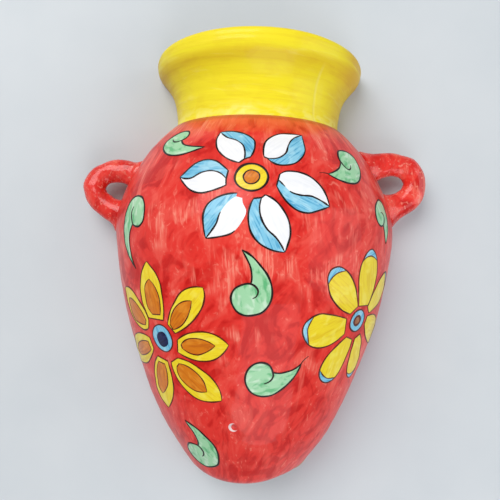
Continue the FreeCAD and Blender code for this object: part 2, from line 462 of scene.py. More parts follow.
class Surface:
    """A material while its nodes are laid out."""

    specular: float = 0.15
    coat_roughness: float = 0.08

    def __init__(self, name: str) -> None:
        """Start an empty material.

        Args:
            name: Its name.
        """
        self.material = bpy.data.materials.new(name)
        self.material.use_nodes = True
        self.tree = self.material.node_tree
        self.tree.nodes.clear()

    def node(
        self,
        kind: str,
        settings: dict[str, object],
        inputs: "dict[str | int, Value | float | Sequence[float]]",
        output: int | str = 0,
    ) -> Value:
        """Add any node.

        Args:
            kind: The node's type, without its usual prefix.
            settings: The properties that are set first.
            inputs: The values or links of its sockets, by name or place.
            output: Which output is wanted.

        Returns:
            That output.
        """
        node = self.tree.nodes.new("ShaderNode" + kind)
        for name, setting in settings.items():
            setattr(node, name, setting)
        for name, value in inputs.items():
            feed(self.tree, node.inputs[name], value)
        return Value(self.tree, node.outputs[output])

    def place(self) -> tuple[Value, Value, Value]:
        """The object coordinates in millimetres.

        Returns:
            The way right, the way back, and the height above the foot.
        """
        point = self.node("TexCoord", {}, {}, "Object")
        parts = [self.node("SeparateXYZ", {}, {0: point}, axis) / MM for axis in range(3)]
        return parts[0], parts[1], parts[2] + POT.hole_height

    def chart(self, radius: float) -> tuple[Value, Value]:
        """Millimetres round the pot at a radius, and millimetres above its foot."""
        x, y, height = self.place()
        return x.math("ARCTAN2", x, y * -1.0) * radius, height

    def vector(self, x: "Value | float", y: "Value | float", z: "Value | float") -> Value:
        """Three values as a vector."""
        return self.node("CombineXYZ", {}, {0: x, 1: y, 2: z})

    def attribute(self, name: str) -> tuple[Value, Value, Value]:
        """A vector that the mesh carries.

        Args:
            name: The name of its layer.

        Returns:
            The three parts of the vector.
        """
        whole = self.node("Attribute", {"attribute_name": name}, {}, "Vector")
        parts = [self.node("SeparateXYZ", {}, {0: whole}, axis) for axis in range(3)]
        return parts[0], parts[1], parts[2]

    def noise(self, vector: Value, detail: float = 2.0, bend: float = 0.0, rough: float = 0.5) -> Value:
        """Cloudy noise from 0 to 1 whose features are one unit of the vector wide."""
        inputs = {"Vector": vector, "Scale": 1.0, "Detail": detail, "Distortion": bend, "Roughness": rough}
        return self.node("TexNoise", {}, inputs)

    def step(self, value: Value, low: float, high: float) -> Value:
        """A soft step from 0 at low to 1 at high."""
        inputs = {"Value": value, "From Min": low, "From Max": high}
        return self.node("MapRange", {"interpolation_type": "SMOOTHSTEP"}, inputs)

    def mix(self, share: "Value | float", first: "Value | Colour", second: "Value | Colour") -> Value:
        """The first colour where the share is 0 and the second where it is 1."""
        inputs = {0: share, 6: first, 7: second}
        return self.node("Mix", {"data_type": "RGBA"}, inputs, 2)

    def strokes(
        self, across: Value, along: Value, lean: float, size: Pair, seed: float, bend: float
    ) -> Value:
        """Brush-stroke noise: patches that are drawn out in one direction.

        Args:
            across: The first chart coordinate.
            along: The second chart coordinate.
            lean: The angle of the strokes from upright in degrees.
            size: The width and the length of a stroke.
            seed: Sets one layer of strokes apart from another.
            bend: How much the strokes wander.

        Returns:
            Noise from 0 to 1.
        """
        cosine, sine = math.cos(math.radians(lean)), math.sin(math.radians(lean))
        width = (across * cosine + along * sine) / size[0]
        length = (along * cosine - across * sine) / size[1]
        return self.noise(self.vector(width, length, seed), 3.0, bend, 0.55)

    def bump(self, height: Value, distance: float, strength: float = 1.0) -> Value:
        """A normal from a height that is 1 at a distance in millimetres."""
        inputs = {"Height": height, "Distance": distance * MM, "Strength": strength}
        return self.node("Bump", {}, inputs)

    def finish(
        self, colour: Value, roughness: "Value | float", normal: Value, coat: float
    ) -> bpy.types.Material:
        """Close the material with its shader.

        Args:
            colour: The base colour.
            roughness: The base roughness.
            normal: The bumped normal.
            coat: The weight of the clear glassy coat.

        Returns:
            The material.
        """
        inputs = {"Base Color": colour, "Roughness": roughness, "Normal": normal, "Coat Weight": coat}
        inputs.update({"Specular IOR Level": self.specular, "Coat Roughness": self.coat_roughness})
        return self.close(self.node("BsdfPrincipled", {}, inputs))

    def close(self, shader: Value) -> bpy.types.Material:
        """Send a shader to the material's output.

        Args:
            shader: The shader.

        Returns:
            The material.
        """
        output = self.tree.nodes.new("ShaderNodeOutputMaterial")
        self.tree.links.new(shader.socket, output.inputs["Surface"])
        return self.material


@dataclass(frozen=True)
class BrushWork:
    """The layers of strokes, patches and dabs in a brushed glaze, as values from 0 to 1."""

    upright: Value
    leaning: Value
    fine: Value
    cloud: Value
    dabs: Value


@dataclass(frozen=True)
class RedGlaze:
    """Brushed red glaze: overlapping strokes, thin places with painted highlight, and an orange band under the
    neck.

    On the kneaded clay of the handles it is glossier and lumpy, with pale specks that are partly real speckle
    and partly painted glints.
    """

    deep: Colour = (0.56, 0.009, 0.006)
    body: Colour = (0.77, 0.034, 0.024)
    bright: Colour = (0.87, 0.11, 0.078)
    pale: Colour = (0.91, 0.28, 0.20)
    orange: Colour = (0.80, 0.17, 0.05)
    joint: Colour = (0.42, 0.07, 0.02)
    # the pale colour of the pit's painted highlight
    pit_highlight: Colour = (0.88, 0.80, 0.78)
    clay: Colour = (0.42, 0.19, 0.10)
    chart_radius: float = 95.0
    pit: Pair = (-7.9, 51.6)
    pit_wall_radius: float = 72.0
    joint_band: Pair = (245.6, 248.4)
    orange_band: Pair = (233.0, 246.0)
    roughness: float = 0.38
    coat: float = 0.22
    kneaded: bool = False

    def make(self) -> bpy.types.Material:
        """Lay out the glaze's nodes.

        Returns:
            The material.
        """
        surface = Surface("red_kneaded_glaze" if self.kneaded else "red_brushed_glaze")
        across, height = surface.chart(self.chart_radius)
        x, y, _ = surface.place()
        if self.kneaded:
            across = x + y * 0.5
        work = self.brush(surface, across, height)
        lights = self.lights(surface, height, work)
        colour = self.strokes(surface, across, height, work, lights)
        worn = surface.step(height + (work.fine - 0.5) * 3.0, 2.6, 1.2)
        colour = surface.mix(worn, self.bands(surface, across, height, work, colour), self.clay)
        pit, crescent = self.pit_shape(surface, across, height)
        # painted highlight on the pit's left edge
        colour = surface.mix(crescent, colour, self.pit_highlight)
        thickness = work.upright * 0.5 + work.leaning * 0.3 + work.dabs * 0.3
        thickness = thickness + work.fine * 0.2 + work.cloud * 0.6 + pit
        if self.kneaded:
            lumps = surface.noise(surface.vector(x / 6.0, y / 6.0, height / 6.0), 2.0, 0.4)
            # pale specks: partly speckle in the glaze, partly painted glints on the lumps
            specks_and_glints = surface.noise(surface.vector(x / 2.0, y / 2.0, height / 2.0), 1.0)
            specks_and_glints = surface.step(specks_and_glints, 0.62, 0.72)
            colour = surface.mix(specks_and_glints * 0.6, colour, self.pale)
            thickness = thickness + lumps * 2.2 + specks_and_glints * 0.5
        roughness = self.roughness - lights * 0.06 + worn * 0.4
        return surface.finish(colour, roughness, surface.bump(thickness, 0.9, 0.5), self.coat)

    def brush(self, surface: Surface, across: Value, height: Value) -> BrushWork:
        """The layers of brush work.

        Args:
            surface: The material under work.
            across: The chart's level coordinate.
            height: The chart's upright coordinate.

        Returns:
            The layers.
        """
        return BrushWork(
            upright=surface.strokes(across, height, 6.0, (13.0, 38.0), 1.0, 0.8),
            leaning=surface.strokes(across, height, -38.0, (12.0, 28.0), 5.0, 1.2),
            fine=surface.strokes(across, height, 4.0, (1.2, 17.0), 13.0, 0.2),
            cloud=surface.noise(surface.vector(across / 34.0, height / 34.0, 3.0), 2.0),
            dabs=surface.noise(surface.vector(across / 19.0, height / 22.0, 5.5), 2.5, 1.7, 0.5),
        )

    def lights(self, surface: Surface, height: Value, work: BrushWork) -> Value:
        """The share of brighter red: partly glaze brushed thin and partly a painted highlight of the glaze's
        sheen, painted weaker low on the pot.

        Args:
            surface: The material under work.
            height: The chart's upright coordinate.
            work: The layers of brush work.

        Returns:
            The share of the brighter red.
        """
        # brighter red: partly glaze brushed thin, partly painted highlight for the glaze's broken sheen,
        # painted weaker low on the pot
        lights = surface.step(work.upright, 0.48, 0.60) * surface.step(work.cloud, 0.42, 0.58) * 0.8
        lights = lights + surface.step(work.dabs, 0.53, 0.66) * 0.6
        lights = lights + surface.step(work.leaning, 0.55, 0.66) * 0.35
        return lights * (0.45 + surface.step(height, 40.0, 115.0) * 0.55)

    def strokes(
        self, surface: Surface, across: Value, height: Value, work: BrushWork, lights: Value
    ) -> Value:
        """The reds of the brush work, whose pale streaks and flecks are partly brush streaks and partly painted
        highlight.

        Args:
            surface: The material under work.
            across: The chart's level coordinate.
            height: The chart's upright coordinate.
            work: The layers of brush work.
            lights: The share of the brighter red.

        Returns:
            The colour.
        """
        darks = surface.step(work.leaning, 0.52, 0.36) * 0.6 + surface.step(work.dabs, 0.50, 0.36) * 0.85
        colour = surface.mix(darks, self.body, self.deep)
        colour = surface.mix(lights * (0.45 + work.fine * 0.7), colour, self.bright)
        # pale streaks and flecks: partly brush streaks, partly painted highlight, kept to the upper belly
        streaky = surface.step(work.cloud, 0.48, 0.60) * surface.step(work.upright, 0.48, 0.60)
        streaky = streaky * surface.step(height, 70.0, 120.0)
        pale = streaky * surface.step(work.fine, 0.44, 0.62) * 0.75
        flecks = surface.noise(surface.vector(across / 4.2, height / 5.6, 8.0), 2.0, 1.2)
        pale = pale + surface.step(flecks, 0.58, 0.70) * surface.step(work.dabs, 0.47, 0.60) * 0.45
        return surface.mix(pale, colour, self.pale)

    def bands(
        self, surface: Surface, across: Value, height: Value, work: BrushWork, colour: Value
    ) -> Value:
        """A dark band low in front painted as shade along the foot's edge, the orange run under the collar and
        the dark line of the joint.

        Args:
            surface: The material under work.
            across: The chart's level coordinate.
            height: The chart's upright coordinate.
            work: The layers of brush work.
            colour: The colour so far.

        Returns:
            The colour.
        """
        # painted shade: a dark red band along the foot's edge, low in front
        low = surface.step(abs(height - 14.0 - across * 0.06) + (work.fine - 0.5) * 2.0, 3.4, 1.6)
        low = low * surface.step(abs(across - 15.0), 30.0, 18.0)
        colour = surface.mix(low * 0.8, colour, self.deep)
        ragged = height + (work.dabs - 0.5) * 26.0 + (work.fine - 0.5) * 8.0
        colour = surface.mix(surface.step(ragged, *self.orange_band) * 0.5, colour, self.orange)
        joint = surface.step(height + (work.fine - 0.5) * 3.0, *self.joint_band)
        return surface.mix(joint * 0.6, colour, self.joint)

    def pit_shape(self, surface: Surface, across: Value, height: Value) -> tuple[Value, Value]:
        """A round pit that a burst bubble left in the glaze.

        Args:
            surface: The material under work.
            across: The chart's level coordinate.
            height: The chart's upright coordinate.

        Returns:
            The height of the glaze round the pit, and the share of a painted highlight on its left edge.
        """
        azimuth, level = self.pit
        aside = across - math.radians(azimuth) * self.chart_radius
        aside = aside * (self.pit_wall_radius / self.chart_radius)
        rise = height - level
        distance = (aside * aside + rise * rise) ** 0.5
        moved = ((aside - 1.2) * (aside - 1.2) + (rise - 0.4) * (rise - 0.4)) ** 0.5
        # painted highlight: a pale crescent on the pit's left edge
        crescent = surface.step(distance, 3.3, 2.8) * surface.step(moved, 2.2, 2.7)
        return surface.step(distance, 1.0, 3.0) * 3.0, crescent * 0.85


@dataclass(frozen=True)
class YellowGlaze:
    """Brushed yellow glaze with level streaks and ochre where it is thick, with ochre painted shade under the
    lip, on the lip and towards the sides, and pale painted reflection low on the neck.
    """

    body: Colour = (0.93, 0.79, 0.022)
    deep: Colour = (0.72, 0.45, 0.018)
    pale: Colour = (0.95, 0.86, 0.22)
    liner: Colour = (0.72, 0.62, 0.46)
    chart_radius: float = 62.0
    inward_reach: Pair = (17.0, 18.5)
    crease_azimuth: float = 36.8
    crease_height: float = 277.0
    crease_lean: float = 0.06
    roughness: float = 0.38
    coat: float = 0.16

    def make(self) -> bpy.types.Material:
        """Lay out the glaze's nodes.

        Returns:
            The material.
        """
        surface = Surface("yellow_brushed_glaze")
        across, height = surface.chart(self.chart_radius)
        streak = surface.strokes(across, height, 88.0, (1.6, 34.0), 2.0, 0.3)
        broad = surface.strokes(across, height, 86.0, (6.0, 40.0), 6.0, 0.5)
        patch = surface.noise(surface.vector(across / 16.0, height / 9.0, 4.0), 3.0, 0.6)
        # painted shade: an ochre band under the lip's flare
        under_lip_shade = surface.step(height + (broad - 0.5) * 8.0, 279.0, 286.0)
        under_lip_shade = under_lip_shade * surface.step(height, 292.0, 288.0)
        # painted shade: ochre towards the sides, more on the right, and on the lip's top
        sides = surface.step(abs(across) + across * 0.18 + (patch - 0.5) * 18.0, 52.0, 84.0)
        lip = surface.step(height, 291.0, 294.0) * (0.15 + sides * 0.5)
        deep = surface.step(streak, 0.48, 0.66) * 0.15 + surface.step(patch, 0.50, 0.36) * 0.12
        deep = deep + under_lip_shade * 0.42 + sides * 0.60 + lip
        colour = surface.mix(deep, self.body, self.deep)
        # pale patches low on the neck are painted reflection; the broad pale streaks are thin glaze
        low = surface.step(height + (patch - 0.5) * 22.0, 262.0, 254.0)
        thin = low * surface.step(patch, 0.44, 0.60) * 0.6 + surface.step(broad, 0.56, 0.70) * 0.3
        colour = surface.mix(thin, colour, self.pale)
        inward, _, _ = surface.attribute("glaze_reach")
        bare = surface.step(inward + (patch - 0.5) * 9.0, *self.inward_reach)
        colour = surface.mix(bare, colour, self.liner)
        crease = self.crease(surface, across, height)
        # painted highlight: a pale line along the crease
        colour = surface.mix(crease * 0.35, colour, self.pale)
        normal = surface.bump(streak * 0.35 + broad * 0.6 + patch * 0.4 - crease * 0.4, 0.7, 0.5)
        return surface.finish(colour, self.roughness + streak * 0.1, normal, self.coat)

    def crease(self, surface: Surface, across: Value, height: Value) -> Value:
        """The faint upright mark where the collar's clay was drawn together, which is also painted as a pale
        highlight.

        Args:
            surface: The material under work.
            across: The chart's level coordinate.
            height: The chart's upright coordinate.

        Returns:
            Its share, which fades under the flare.
        """
        middle = math.radians(self.crease_azimuth) * self.chart_radius
        line = abs(across - middle + (height - self.crease_height) * self.crease_lean)
        return surface.step(line, 1.6, 0.2) * surface.step(height, 288.0, 280.0)


@dataclass(frozen=True)
class BrushedColour:
    """A painted colour, streaked along the brush stroke that the mesh carries."""

    name: str
    body: Colour
    deep: Colour
    pale: Colour
    streak: Pair = (1.3, 16.0)
    deep_share: float = 0.7
    pale_share: float = 0.6
    roughness: float = 0.30
    coat: float = 0.3

    def make(self) -> bpy.types.Material:
        """Lay out the colour's nodes.

        Returns:
            The material.
        """
        surface = Surface(self.name)
        across, along, seed = surface.attribute("brush")
        width, length = self.streak
        streak = surface.noise(surface.vector(across / width, along / length, seed), 3.0, 0.3)
        patch = surface.noise(surface.vector(across / 5.0, along / 9.0, seed + 7.0), 2.0, 0.4)
        colour = surface.mix(surface.step(streak, 0.46, 0.66) * self.deep_share, self.body, self.deep)
        colour = surface.mix(surface.step(patch, 0.50, 0.68) * self.pale_share, colour, self.pale)
        normal = surface.bump(streak * 0.6 + patch * 0.6, 0.25, 0.5)
        return surface.finish(colour, self.roughness + streak * 0.08, normal, self.coat)


@dataclass(frozen=True)
class Clay:
    """Fired clay, bare or under a thin clear liner."""

    name: str
    body: Colour
    deep: Colour
    pale: Colour
    roughness: float
    coat: float
    smear: Colour | None = None

    def make(self) -> bpy.types.Material:
        """Lay out the clay's nodes.

        Returns:
            The material.
        """
        surface = Surface(self.name)
        x, y, height = surface.place()
        cloud = surface.noise(surface.vector(x / 30.0, y / 30.0, height / 22.0), 4.0, 0.5)
        grain = surface.noise(surface.vector(x / 1.4, y / 1.4, height / 1.4), 3.0)
        grog = surface.noise(surface.vector(x / 3.1, y / 3.1, height / 3.1), 1.0)
        colour = surface.mix(surface.step(cloud, 0.38, 0.64), self.body, self.deep)
        colour = surface.mix(surface.step(grain, 0.55, 0.75) * 0.5, colour, self.pale)
        colour = surface.mix(surface.step(grog, 0.70, 0.78) * 0.6, colour, self.pale)
        if self.smear:
            reach, _, _ = surface.attribute("glaze_reach")
            edge = surface.step(reach + (cloud - 0.5) * 9.0 + (grain - 0.5) * 1.5, 4.2, 3.4)
            colour = surface.mix(edge, colour, self.smear)
        normal = surface.bump(cloud * 1.2 + grain * 0.25, 0.8, 0.6)
        return surface.finish(colour, self.roughness + (grain - 0.5) * 0.15, normal, self.coat)


WHITE = BrushedColour(
    "white_painted", (0.90, 0.90, 0.92), (0.76, 0.78, 0.82), (0.96, 0.96, 0.97), deep_share=0.3
)
BLUE = BrushedColour(
    "blue_painted", (0.23, 0.57, 0.76), (0.05, 0.32, 0.56), (0.46, 0.76, 0.87), (0.9, 13.0), deep_share=0.85
)
YELLOW = BrushedColour("yellow_painted", (0.88, 0.68, 0.022), (0.76, 0.50, 0.012), (0.93, 0.80, 0.11))
ORANGE = BrushedColour("orange_painted", (0.68, 0.19, 0.006), (0.50, 0.11, 0.004), (0.80, 0.30, 0.025))
GREEN = BrushedColour(
    "green_painted", (0.35, 0.66, 0.38), (0.07, 0.42, 0.15), (0.70, 0.85, 0.68), (4.5, 9.0), deep_share=0.8
)
NAVY = BrushedColour("navy_painted", (0.010, 0.012, 0.075), (0.005, 0.005, 0.03), (0.03, 0.04, 0.14))
BROWN = BrushedColour("brown_painted", (0.36, 0.12, 0.04), (0.20, 0.06, 0.03), (0.45, 0.24, 0.13))
LINE = BrushedColour(
    "line_painted", (0.016, 0.008, 0.007), (0.006, 0.003, 0.003), (0.055, 0.018, 0.012),
    pale_share=0.4, coat=0.15,
)
UMBER = BrushedColour(
    "umber_painted", (0.105, 0.013, 0.005), (0.040, 0.006, 0.003), (0.19, 0.030, 0.012),
    pale_share=0.4, coat=0.15,
)
LINER_CLAY = Clay(
    "liner_over_clay", (0.70, 0.60, 0.44), (0.58, 0.45, 0.30), (0.80, 0.74, 0.62), roughness=0.35, coat=0.5
)
BACK_CLAY = Clay(
    "bare_terracotta", (0.50, 0.22, 0.115), (0.40, 0.155, 0.075), (0.64, 0.38, 0.24),
    roughness=0.82, coat=0.0, smear=(0.60, 0.03, 0.02),
)


Finish = RedGlaze | YellowGlaze | BrushedColour | Clay


class Palette:
    """The material of each finish, made once when it is first asked for."""

    def __init__(self) -> None:
        """Start with nothing made."""
        self.made: dict[Finish, bpy.types.Material] = {}

    def get(self, finish: Finish) -> bpy.types.Material:
        """The material of a finish.

        Args:
            finish: The finish.

        Returns:
            Its material.
        """
        if finish not in self.made:
            self.made[finish] = finish.make()
        return self.made[finish]


RED_GLAZE = RedGlaze()
KNEADED_GLAZE = RedGlaze(kneaded=True, roughness=0.28, coat=0.6)
YELLOW_GLAZE = YellowGlaze()
PALETTE = Palette()


# Meshes


def publish(
    name: str,
    bm: bmesh.types.BMesh,
    materials: Iterable[bpy.types.Material],
    nodes: Sequence[str],
) -> bpy.types.Object:
    """Finish a mesh in metres and give it to the frame.

    Args:
        name: The piece's name.
        bm: Its mesh in millimetres, which is freed.
        materials: Its materials, in the order of its faces' numbers.
        nodes: The CAD nodes that it stands for.

    Returns:
        The object.
    """
    bmesh.ops.scale(bm, vec=(MM, MM, MM), verts=bm.verts)
    for face in bm.faces:
        face.smooth = True
    for edge in bm.edges:
        edge.smooth = len(edge.link_faces) != 2 or edge.calc_face_angle() < math.radians(50)
    mesh = bpy.data.meshes.new(name)
    bm.to_mesh(mesh)
    bm.free()
    for material in materials:
        mesh.materials.append(material)
    piece = bpy.data.objects.new(name, mesh)
    bpy.context.scene.collection.objects.link(piece)
    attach(piece, "root")
    if nodes:
        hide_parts(*nodes)
    LOG.info("%s: %d faces", name, len(mesh.polygons))
    return piece


def chain(bm: bmesh.types.BMesh, points: Sequence[Vector], closed: bool) -> list[bmesh.types.BMEdge]:
    """Lay an outline of (radius, height) points in the plane to the right of the axis.

    Args:
        bm: The mesh.
        points: The outline.
        closed: Whether its last point joins its first.

    Returns:
        Its edges.
    """
    verts = [bm.verts.new((point.x, 0.0, point.y - POT.hole_height)) for point in points]
    edges = [bm.edges.new(pair) for pair in zip(verts, verts[1:])]
    if closed:
        edges.append(bm.edges.new((verts[-1], verts[0])))
    return edges


def throw(bm: bmesh.types.BMesh, edges: list[bmesh.types.BMEdge], steps: int) -> None:
    """Sweep an outline from the right side round the front to the left side.

    Args:
        bm: The mesh.
        edges: The outline's edges.
        steps: How many steps the half turn takes.
    """
    verts = list({vert for edge in edges for vert in edge.verts})
    bmesh.ops.spin(
        bm, geom=verts + edges, cent=(0, 0, 0), axis=(0, 0, 1), angle=-math.pi, steps=steps, use_merge=False
    )
    bmesh.ops.remove_doubles(bm, verts=bm.verts, dist=0.001)


def slice_at(bm: bmesh.types.BMesh, depth: float, keep_front: bool) -> list[bmesh.types.BMEdge]:
    """Cut the mesh at a distance from the wall.

    Args:
        bm: The mesh.
        depth: The distance.
        keep_front: Whether the part away from the wall stays.

    Returns:
        The edges of the cut.
    """
    geometry = list(bm.verts) + list(bm.edges) + list(bm.faces)
    cut = bmesh.ops.bisect_plane(
        bm, geom=geometry, dist=0.0001, plane_co=(0, -depth, 0), plane_no=(0, 1, 0),
        clear_outer=keep_front, clear_inner=not keep_front,
    )
    return [item for item in cut["geom_cut"] if isinstance(item, bmesh.types.BMEdge)]


def ease(bm: bmesh.types.BMesh, edges: list[bmesh.types.BMEdge], size: float) -> None:
    """Round some edges off.

    Args:
        bm: The mesh.
        edges: The edges.
        size: How far the rounding reaches.
    """
    bmesh.ops.bevel(
        bm, geom=edges, offset=size, segments=3, affect="EDGES", profile=0.5, material=-1, clamp_overlap=True
    )


@dataclass(frozen=True)
class ThrownBelly:
    """The belly: its outside follows the hand, its inside is smooth."""

    steps: int = 120
    row: float = 2.4
    inner_rows: int = 60
    foot_top: float = 7.5
    liner_bottom: float = 7.6

    def outline(self, bm: bmesh.types.BMesh) -> bmesh.types.BMLayerItem:
        """Throw the wall's outline, whose outside points know their place on the pot.

        Args:
            bm: The mesh.

        Returns:
            The layer of the places, which are -1 on the foot and inside.
        """
        outer = BELLY.samples(self.row)
        places = [BELLY.length * index / self.inner_rows for index in range(self.inner_rows + 1)]
        inner = [inset(BELLY, place, POT.wall) for place in places]
        rise = inner[-1] - inner[-2]
        inner.append(inner[-1] + rise * ((POT.seat_height - inner[-1].y) / rise.y))
        floor = POT.foot(POT.floor)[:-3]
        foot = POT.foot()[:-1]
        edges = chain(bm, foot + outer + inner[::-1] + floor[::-1], False)
        layer = bm.verts.layers.float.new("outline_place")
        for index, vert in enumerate(bm.verts):
            row = index - len(foot)
            vert[layer] = BELLY.length * row / (len(outer) - 1) if 0 <= row < len(outer) else -1.0
        throw(bm, edges, self.steps)
        return layer

    def build(self) -> bpy.types.Object:
        """Throw, press and halve the belly.

        Returns:
            The piece.
        """
        bm = bmesh.new()
        place = self.outline(bm)
        for vert in bm.verts:
            height = vert.co.z + POT.hole_height
            if vert[place] >= 0:
                vert.co = on_belly(azimuth_of(vert.co), vert[place], 0.0)
            elif height < self.foot_top:
                vert.co.z += HAND.foot_up(azimuth_of(vert.co), vert.co.xy.length, height)
        bmesh.ops.edgeloop_fill(bm, edges=slice_at(bm, POT.seam, True))
        bmesh.ops.recalc_face_normals(bm, faces=bm.faces)
        lined = self.liner_bottom - POT.hole_height
        for face in bm.faces:
            inside = all(vert[place] < 0 and vert.co.z > lined for vert in face.verts)
            face.material_index = 1 if inside else 0
        bm.verts.layers.float.remove(place)
        materials = [PALETTE.get(RED_GLAZE), PALETTE.get(LINER_CLAY)]
        return publish("belly_thrown", bm, materials, ["belly"])


@dataclass(frozen=True)
class ThrownCollar:
    """The collar with its rounded lip, whose wall is thickest at the rim."""

    steps: int = 120
    row: float = 1.5
    inner_rows: int = 24
    seat_wall: float = 6.0
    rim_thicker: float = 2.0

    def outline(self, bm: bmesh.types.BMesh) -> None:
        """Throw the wall's outline, whose inside points know how far they lie from the lip's crest.

        Args:
            bm: The mesh.
        """
        outer = COLLAR.samples(self.row)
        lip = POT.lip(end=135.0, count=12)[1:-1]
        inner = []
        for index in range(self.inner_rows + 1):
            share = 1 - index / self.inner_rows
            inner.append(inset(COLLAR, COLLAR.length * share, self.seat_wall + self.rim_thicker * share))
        inner[-1].y = POT.seat_height
        points = outer + lip + inner
        edges = chain(bm, points, True)
        reach = bm.verts.layers.float_vector.new("glaze_reach")
        bm.verts.ensure_lookup_table()
        gone = 0.0
        for index in range(len(outer) + len(lip) * 2 // 3, len(points)):
            gone += (points[index] - points[index - 1]).length
            bm.verts[index][reach] = (gone, 0.0, 0.0)
        throw(bm, edges, self.steps)

    def build(self) -> bpy.types.Object:
        """Throw, press and halve the collar.

        Returns:
            The piece.
        """
        bm = bmesh.new()
        self.outline(bm)
        for vert in bm.verts:
            azimuth, height = azimuth_of(vert.co), vert.co.z + POT.hole_height
            out = HAND.collar_out(azimuth, height)
            rise = HAND.rim_up(azimuth, height)
            vert.co += Vector((out * math.sin(azimuth), -out * math.cos(azimuth), rise))
        bmesh.ops.holes_fill(bm, edges=slice_at(bm, POT.seam, True), sides=0)
        bmesh.ops.recalc_face_normals(bm, faces=bm.faces)
        return publish("collar_thrown", bm, [PALETTE.get(YELLOW_GLAZE)], ["collar"])


@dataclass(frozen=True)
class BackSlab:
    """The flat back with its hanging hole, glazed round its rim and bare behind."""

    steps: int = 120
    row: float = 3.0
    top: float = 300.0
    hole_radius: float = 4.0
    hole_facets: int = 32
    hole_ease: float = 0.7
    wall_ease: float = 1.0
    top_ease: float = 2.0
    margin: float = 3.2
    smear_reach: float = 7.0

    def build(self) -> bpy.types.Object:
        """Cut the slab from the pot's outline and pierce it.

        Returns:
            The piece.
        """
        bm = bmesh.new()
        wall = POT.foot()[:-1] + BELLY.samples(self.row) + COLLAR.samples(self.row)
        outline = wall + POT.lip(end=90.0, count=9)[1:] + [Vector((0.0, self.top))]
        throw(bm, chain(bm, outline, False), self.steps)
        bm.verts.layers.float_vector.new("glaze_reach")
        slice_at(bm, POT.seam, False)
        bmesh.ops.dissolve_limit(bm, angle_limit=0.0005, verts=bm.verts, edges=bm.edges)
        front = [edge for edge in bm.edges if all(vert.co.y < 0.001 - POT.seam for vert in edge.verts)]
        self.cover(bm, front, -POT.seam)
        back = [edge for edge in bm.edges if all(vert.co.y > -0.001 for vert in edge.verts)]
        self.cover(bm, back, 0.0)
        self.pierce(bm)
        bmesh.ops.recalc_face_normals(bm, faces=bm.faces)
        self.round_off(bm)
        for face in bm.faces:
            face.material_index = self.side_of(face)
        finishes = (BACK_CLAY, LINER_CLAY, RED_GLAZE, YELLOW_GLAZE)
        materials = [PALETTE.get(finish) for finish in finishes]
        return publish("back_slab_rolled", bm, materials, ["back_slab"])

    def cover(self, bm: bmesh.types.BMesh, rim: list[bmesh.types.BMEdge], depth: float) -> None:
        """Close one side with a face that has a margin, and open the hanging hole in it.

        Args:
            bm: The mesh.
            rim: The edges round the side.
            depth: Where the side lies along Y.
        """
        reach = bm.verts.layers.float_vector["glaze_reach"]
        face = bmesh.ops.edgeloop_fill(bm, edges=rim)["faces"][0]
        bmesh.ops.inset_region(bm, faces=[face], thickness=self.margin, use_even_offset=True)
        for vert in face.verts:
            vert[reach] = (self.smear_reach, 0.0, 0.0)
        turn = Matrix.Translation((0, depth, 0)) @ Matrix.Rotation(math.pi / 2, 4, "X")
        circle = bmesh.ops.create_circle(
            bm, segments=self.hole_facets, radius=self.hole_radius, matrix=turn
        )["verts"]
        for vert in circle:
            vert[reach] = (self.smear_reach * 2, 0.0, 0.0)
        edges = list({edge for vert in circle for edge in vert.link_edges}) + list(face.edges)
        bmesh.ops.delete(bm, geom=[face], context="FACES_ONLY")
        bmesh.ops.triangle_fill(bm, edges=edges, use_beauty=True)

    def pierce(self, bm: bmesh.types.BMesh) -> None:
        """Join the two openings with the bore and ease its edges.

        Args:
            bm: The mesh.
        """
        rims = [edge for edge in bm.edges if edge.is_boundary]
        bmesh.ops.bridge_loops(bm, edges=rims)
        ease(bm, rims, self.hole_ease)

    def round_off(self, bm: bmesh.types.BMesh) -> None:
        """Ease the edge that lies on the wall, and round the top front edge.

        Args:
            bm: The mesh.
        """
        top = self.top - 0.1 - POT.hole_height
        outside = self.hole_radius * 5
        ease(bm, self.sharp(bm, lambda vert: vert.co.y > -0.01 and vert.co.length > outside), self.wall_ease)
        ease(bm, self.sharp(bm, lambda vert: vert.co.y < 0.01 - POT.seam and vert.co.z > top), self.top_ease)

    def sharp(
        self, bm: bmesh.types.BMesh, chosen: Callable[[bmesh.types.BMVert], bool]
    ) -> list[bmesh.types.BMEdge]:
        """The sharp edges whose two ends are both chosen."""
        edges = [edge for edge in bm.edges if edge.calc_face_angle(0.0) > math.radians(60)]
        return [edge for edge in edges if all(chosen(vert) for vert in edge.verts)]

    def side_of(self, face: bmesh.types.BMFace) -> SlabSide:
        """The part of the slab's surface that a face belongs to.

        Args:
            face: The face.

        Returns:
            The part.
        """
        centre = face.calc_center_median()
        if face.normal.y > 0.7 or Vector((centre.x, 0.0, centre.z)).length < self.hole_radius + 1:
            return SlabSide.BACK
        if face.normal.y < -0.7:
            return SlabSide.INSIDE
        below_seat = centre.z + POT.hole_height < POT.seat_height
        return SlabSide.BELLY_EDGE if below_seat else SlabSide.COLLAR_EDGE


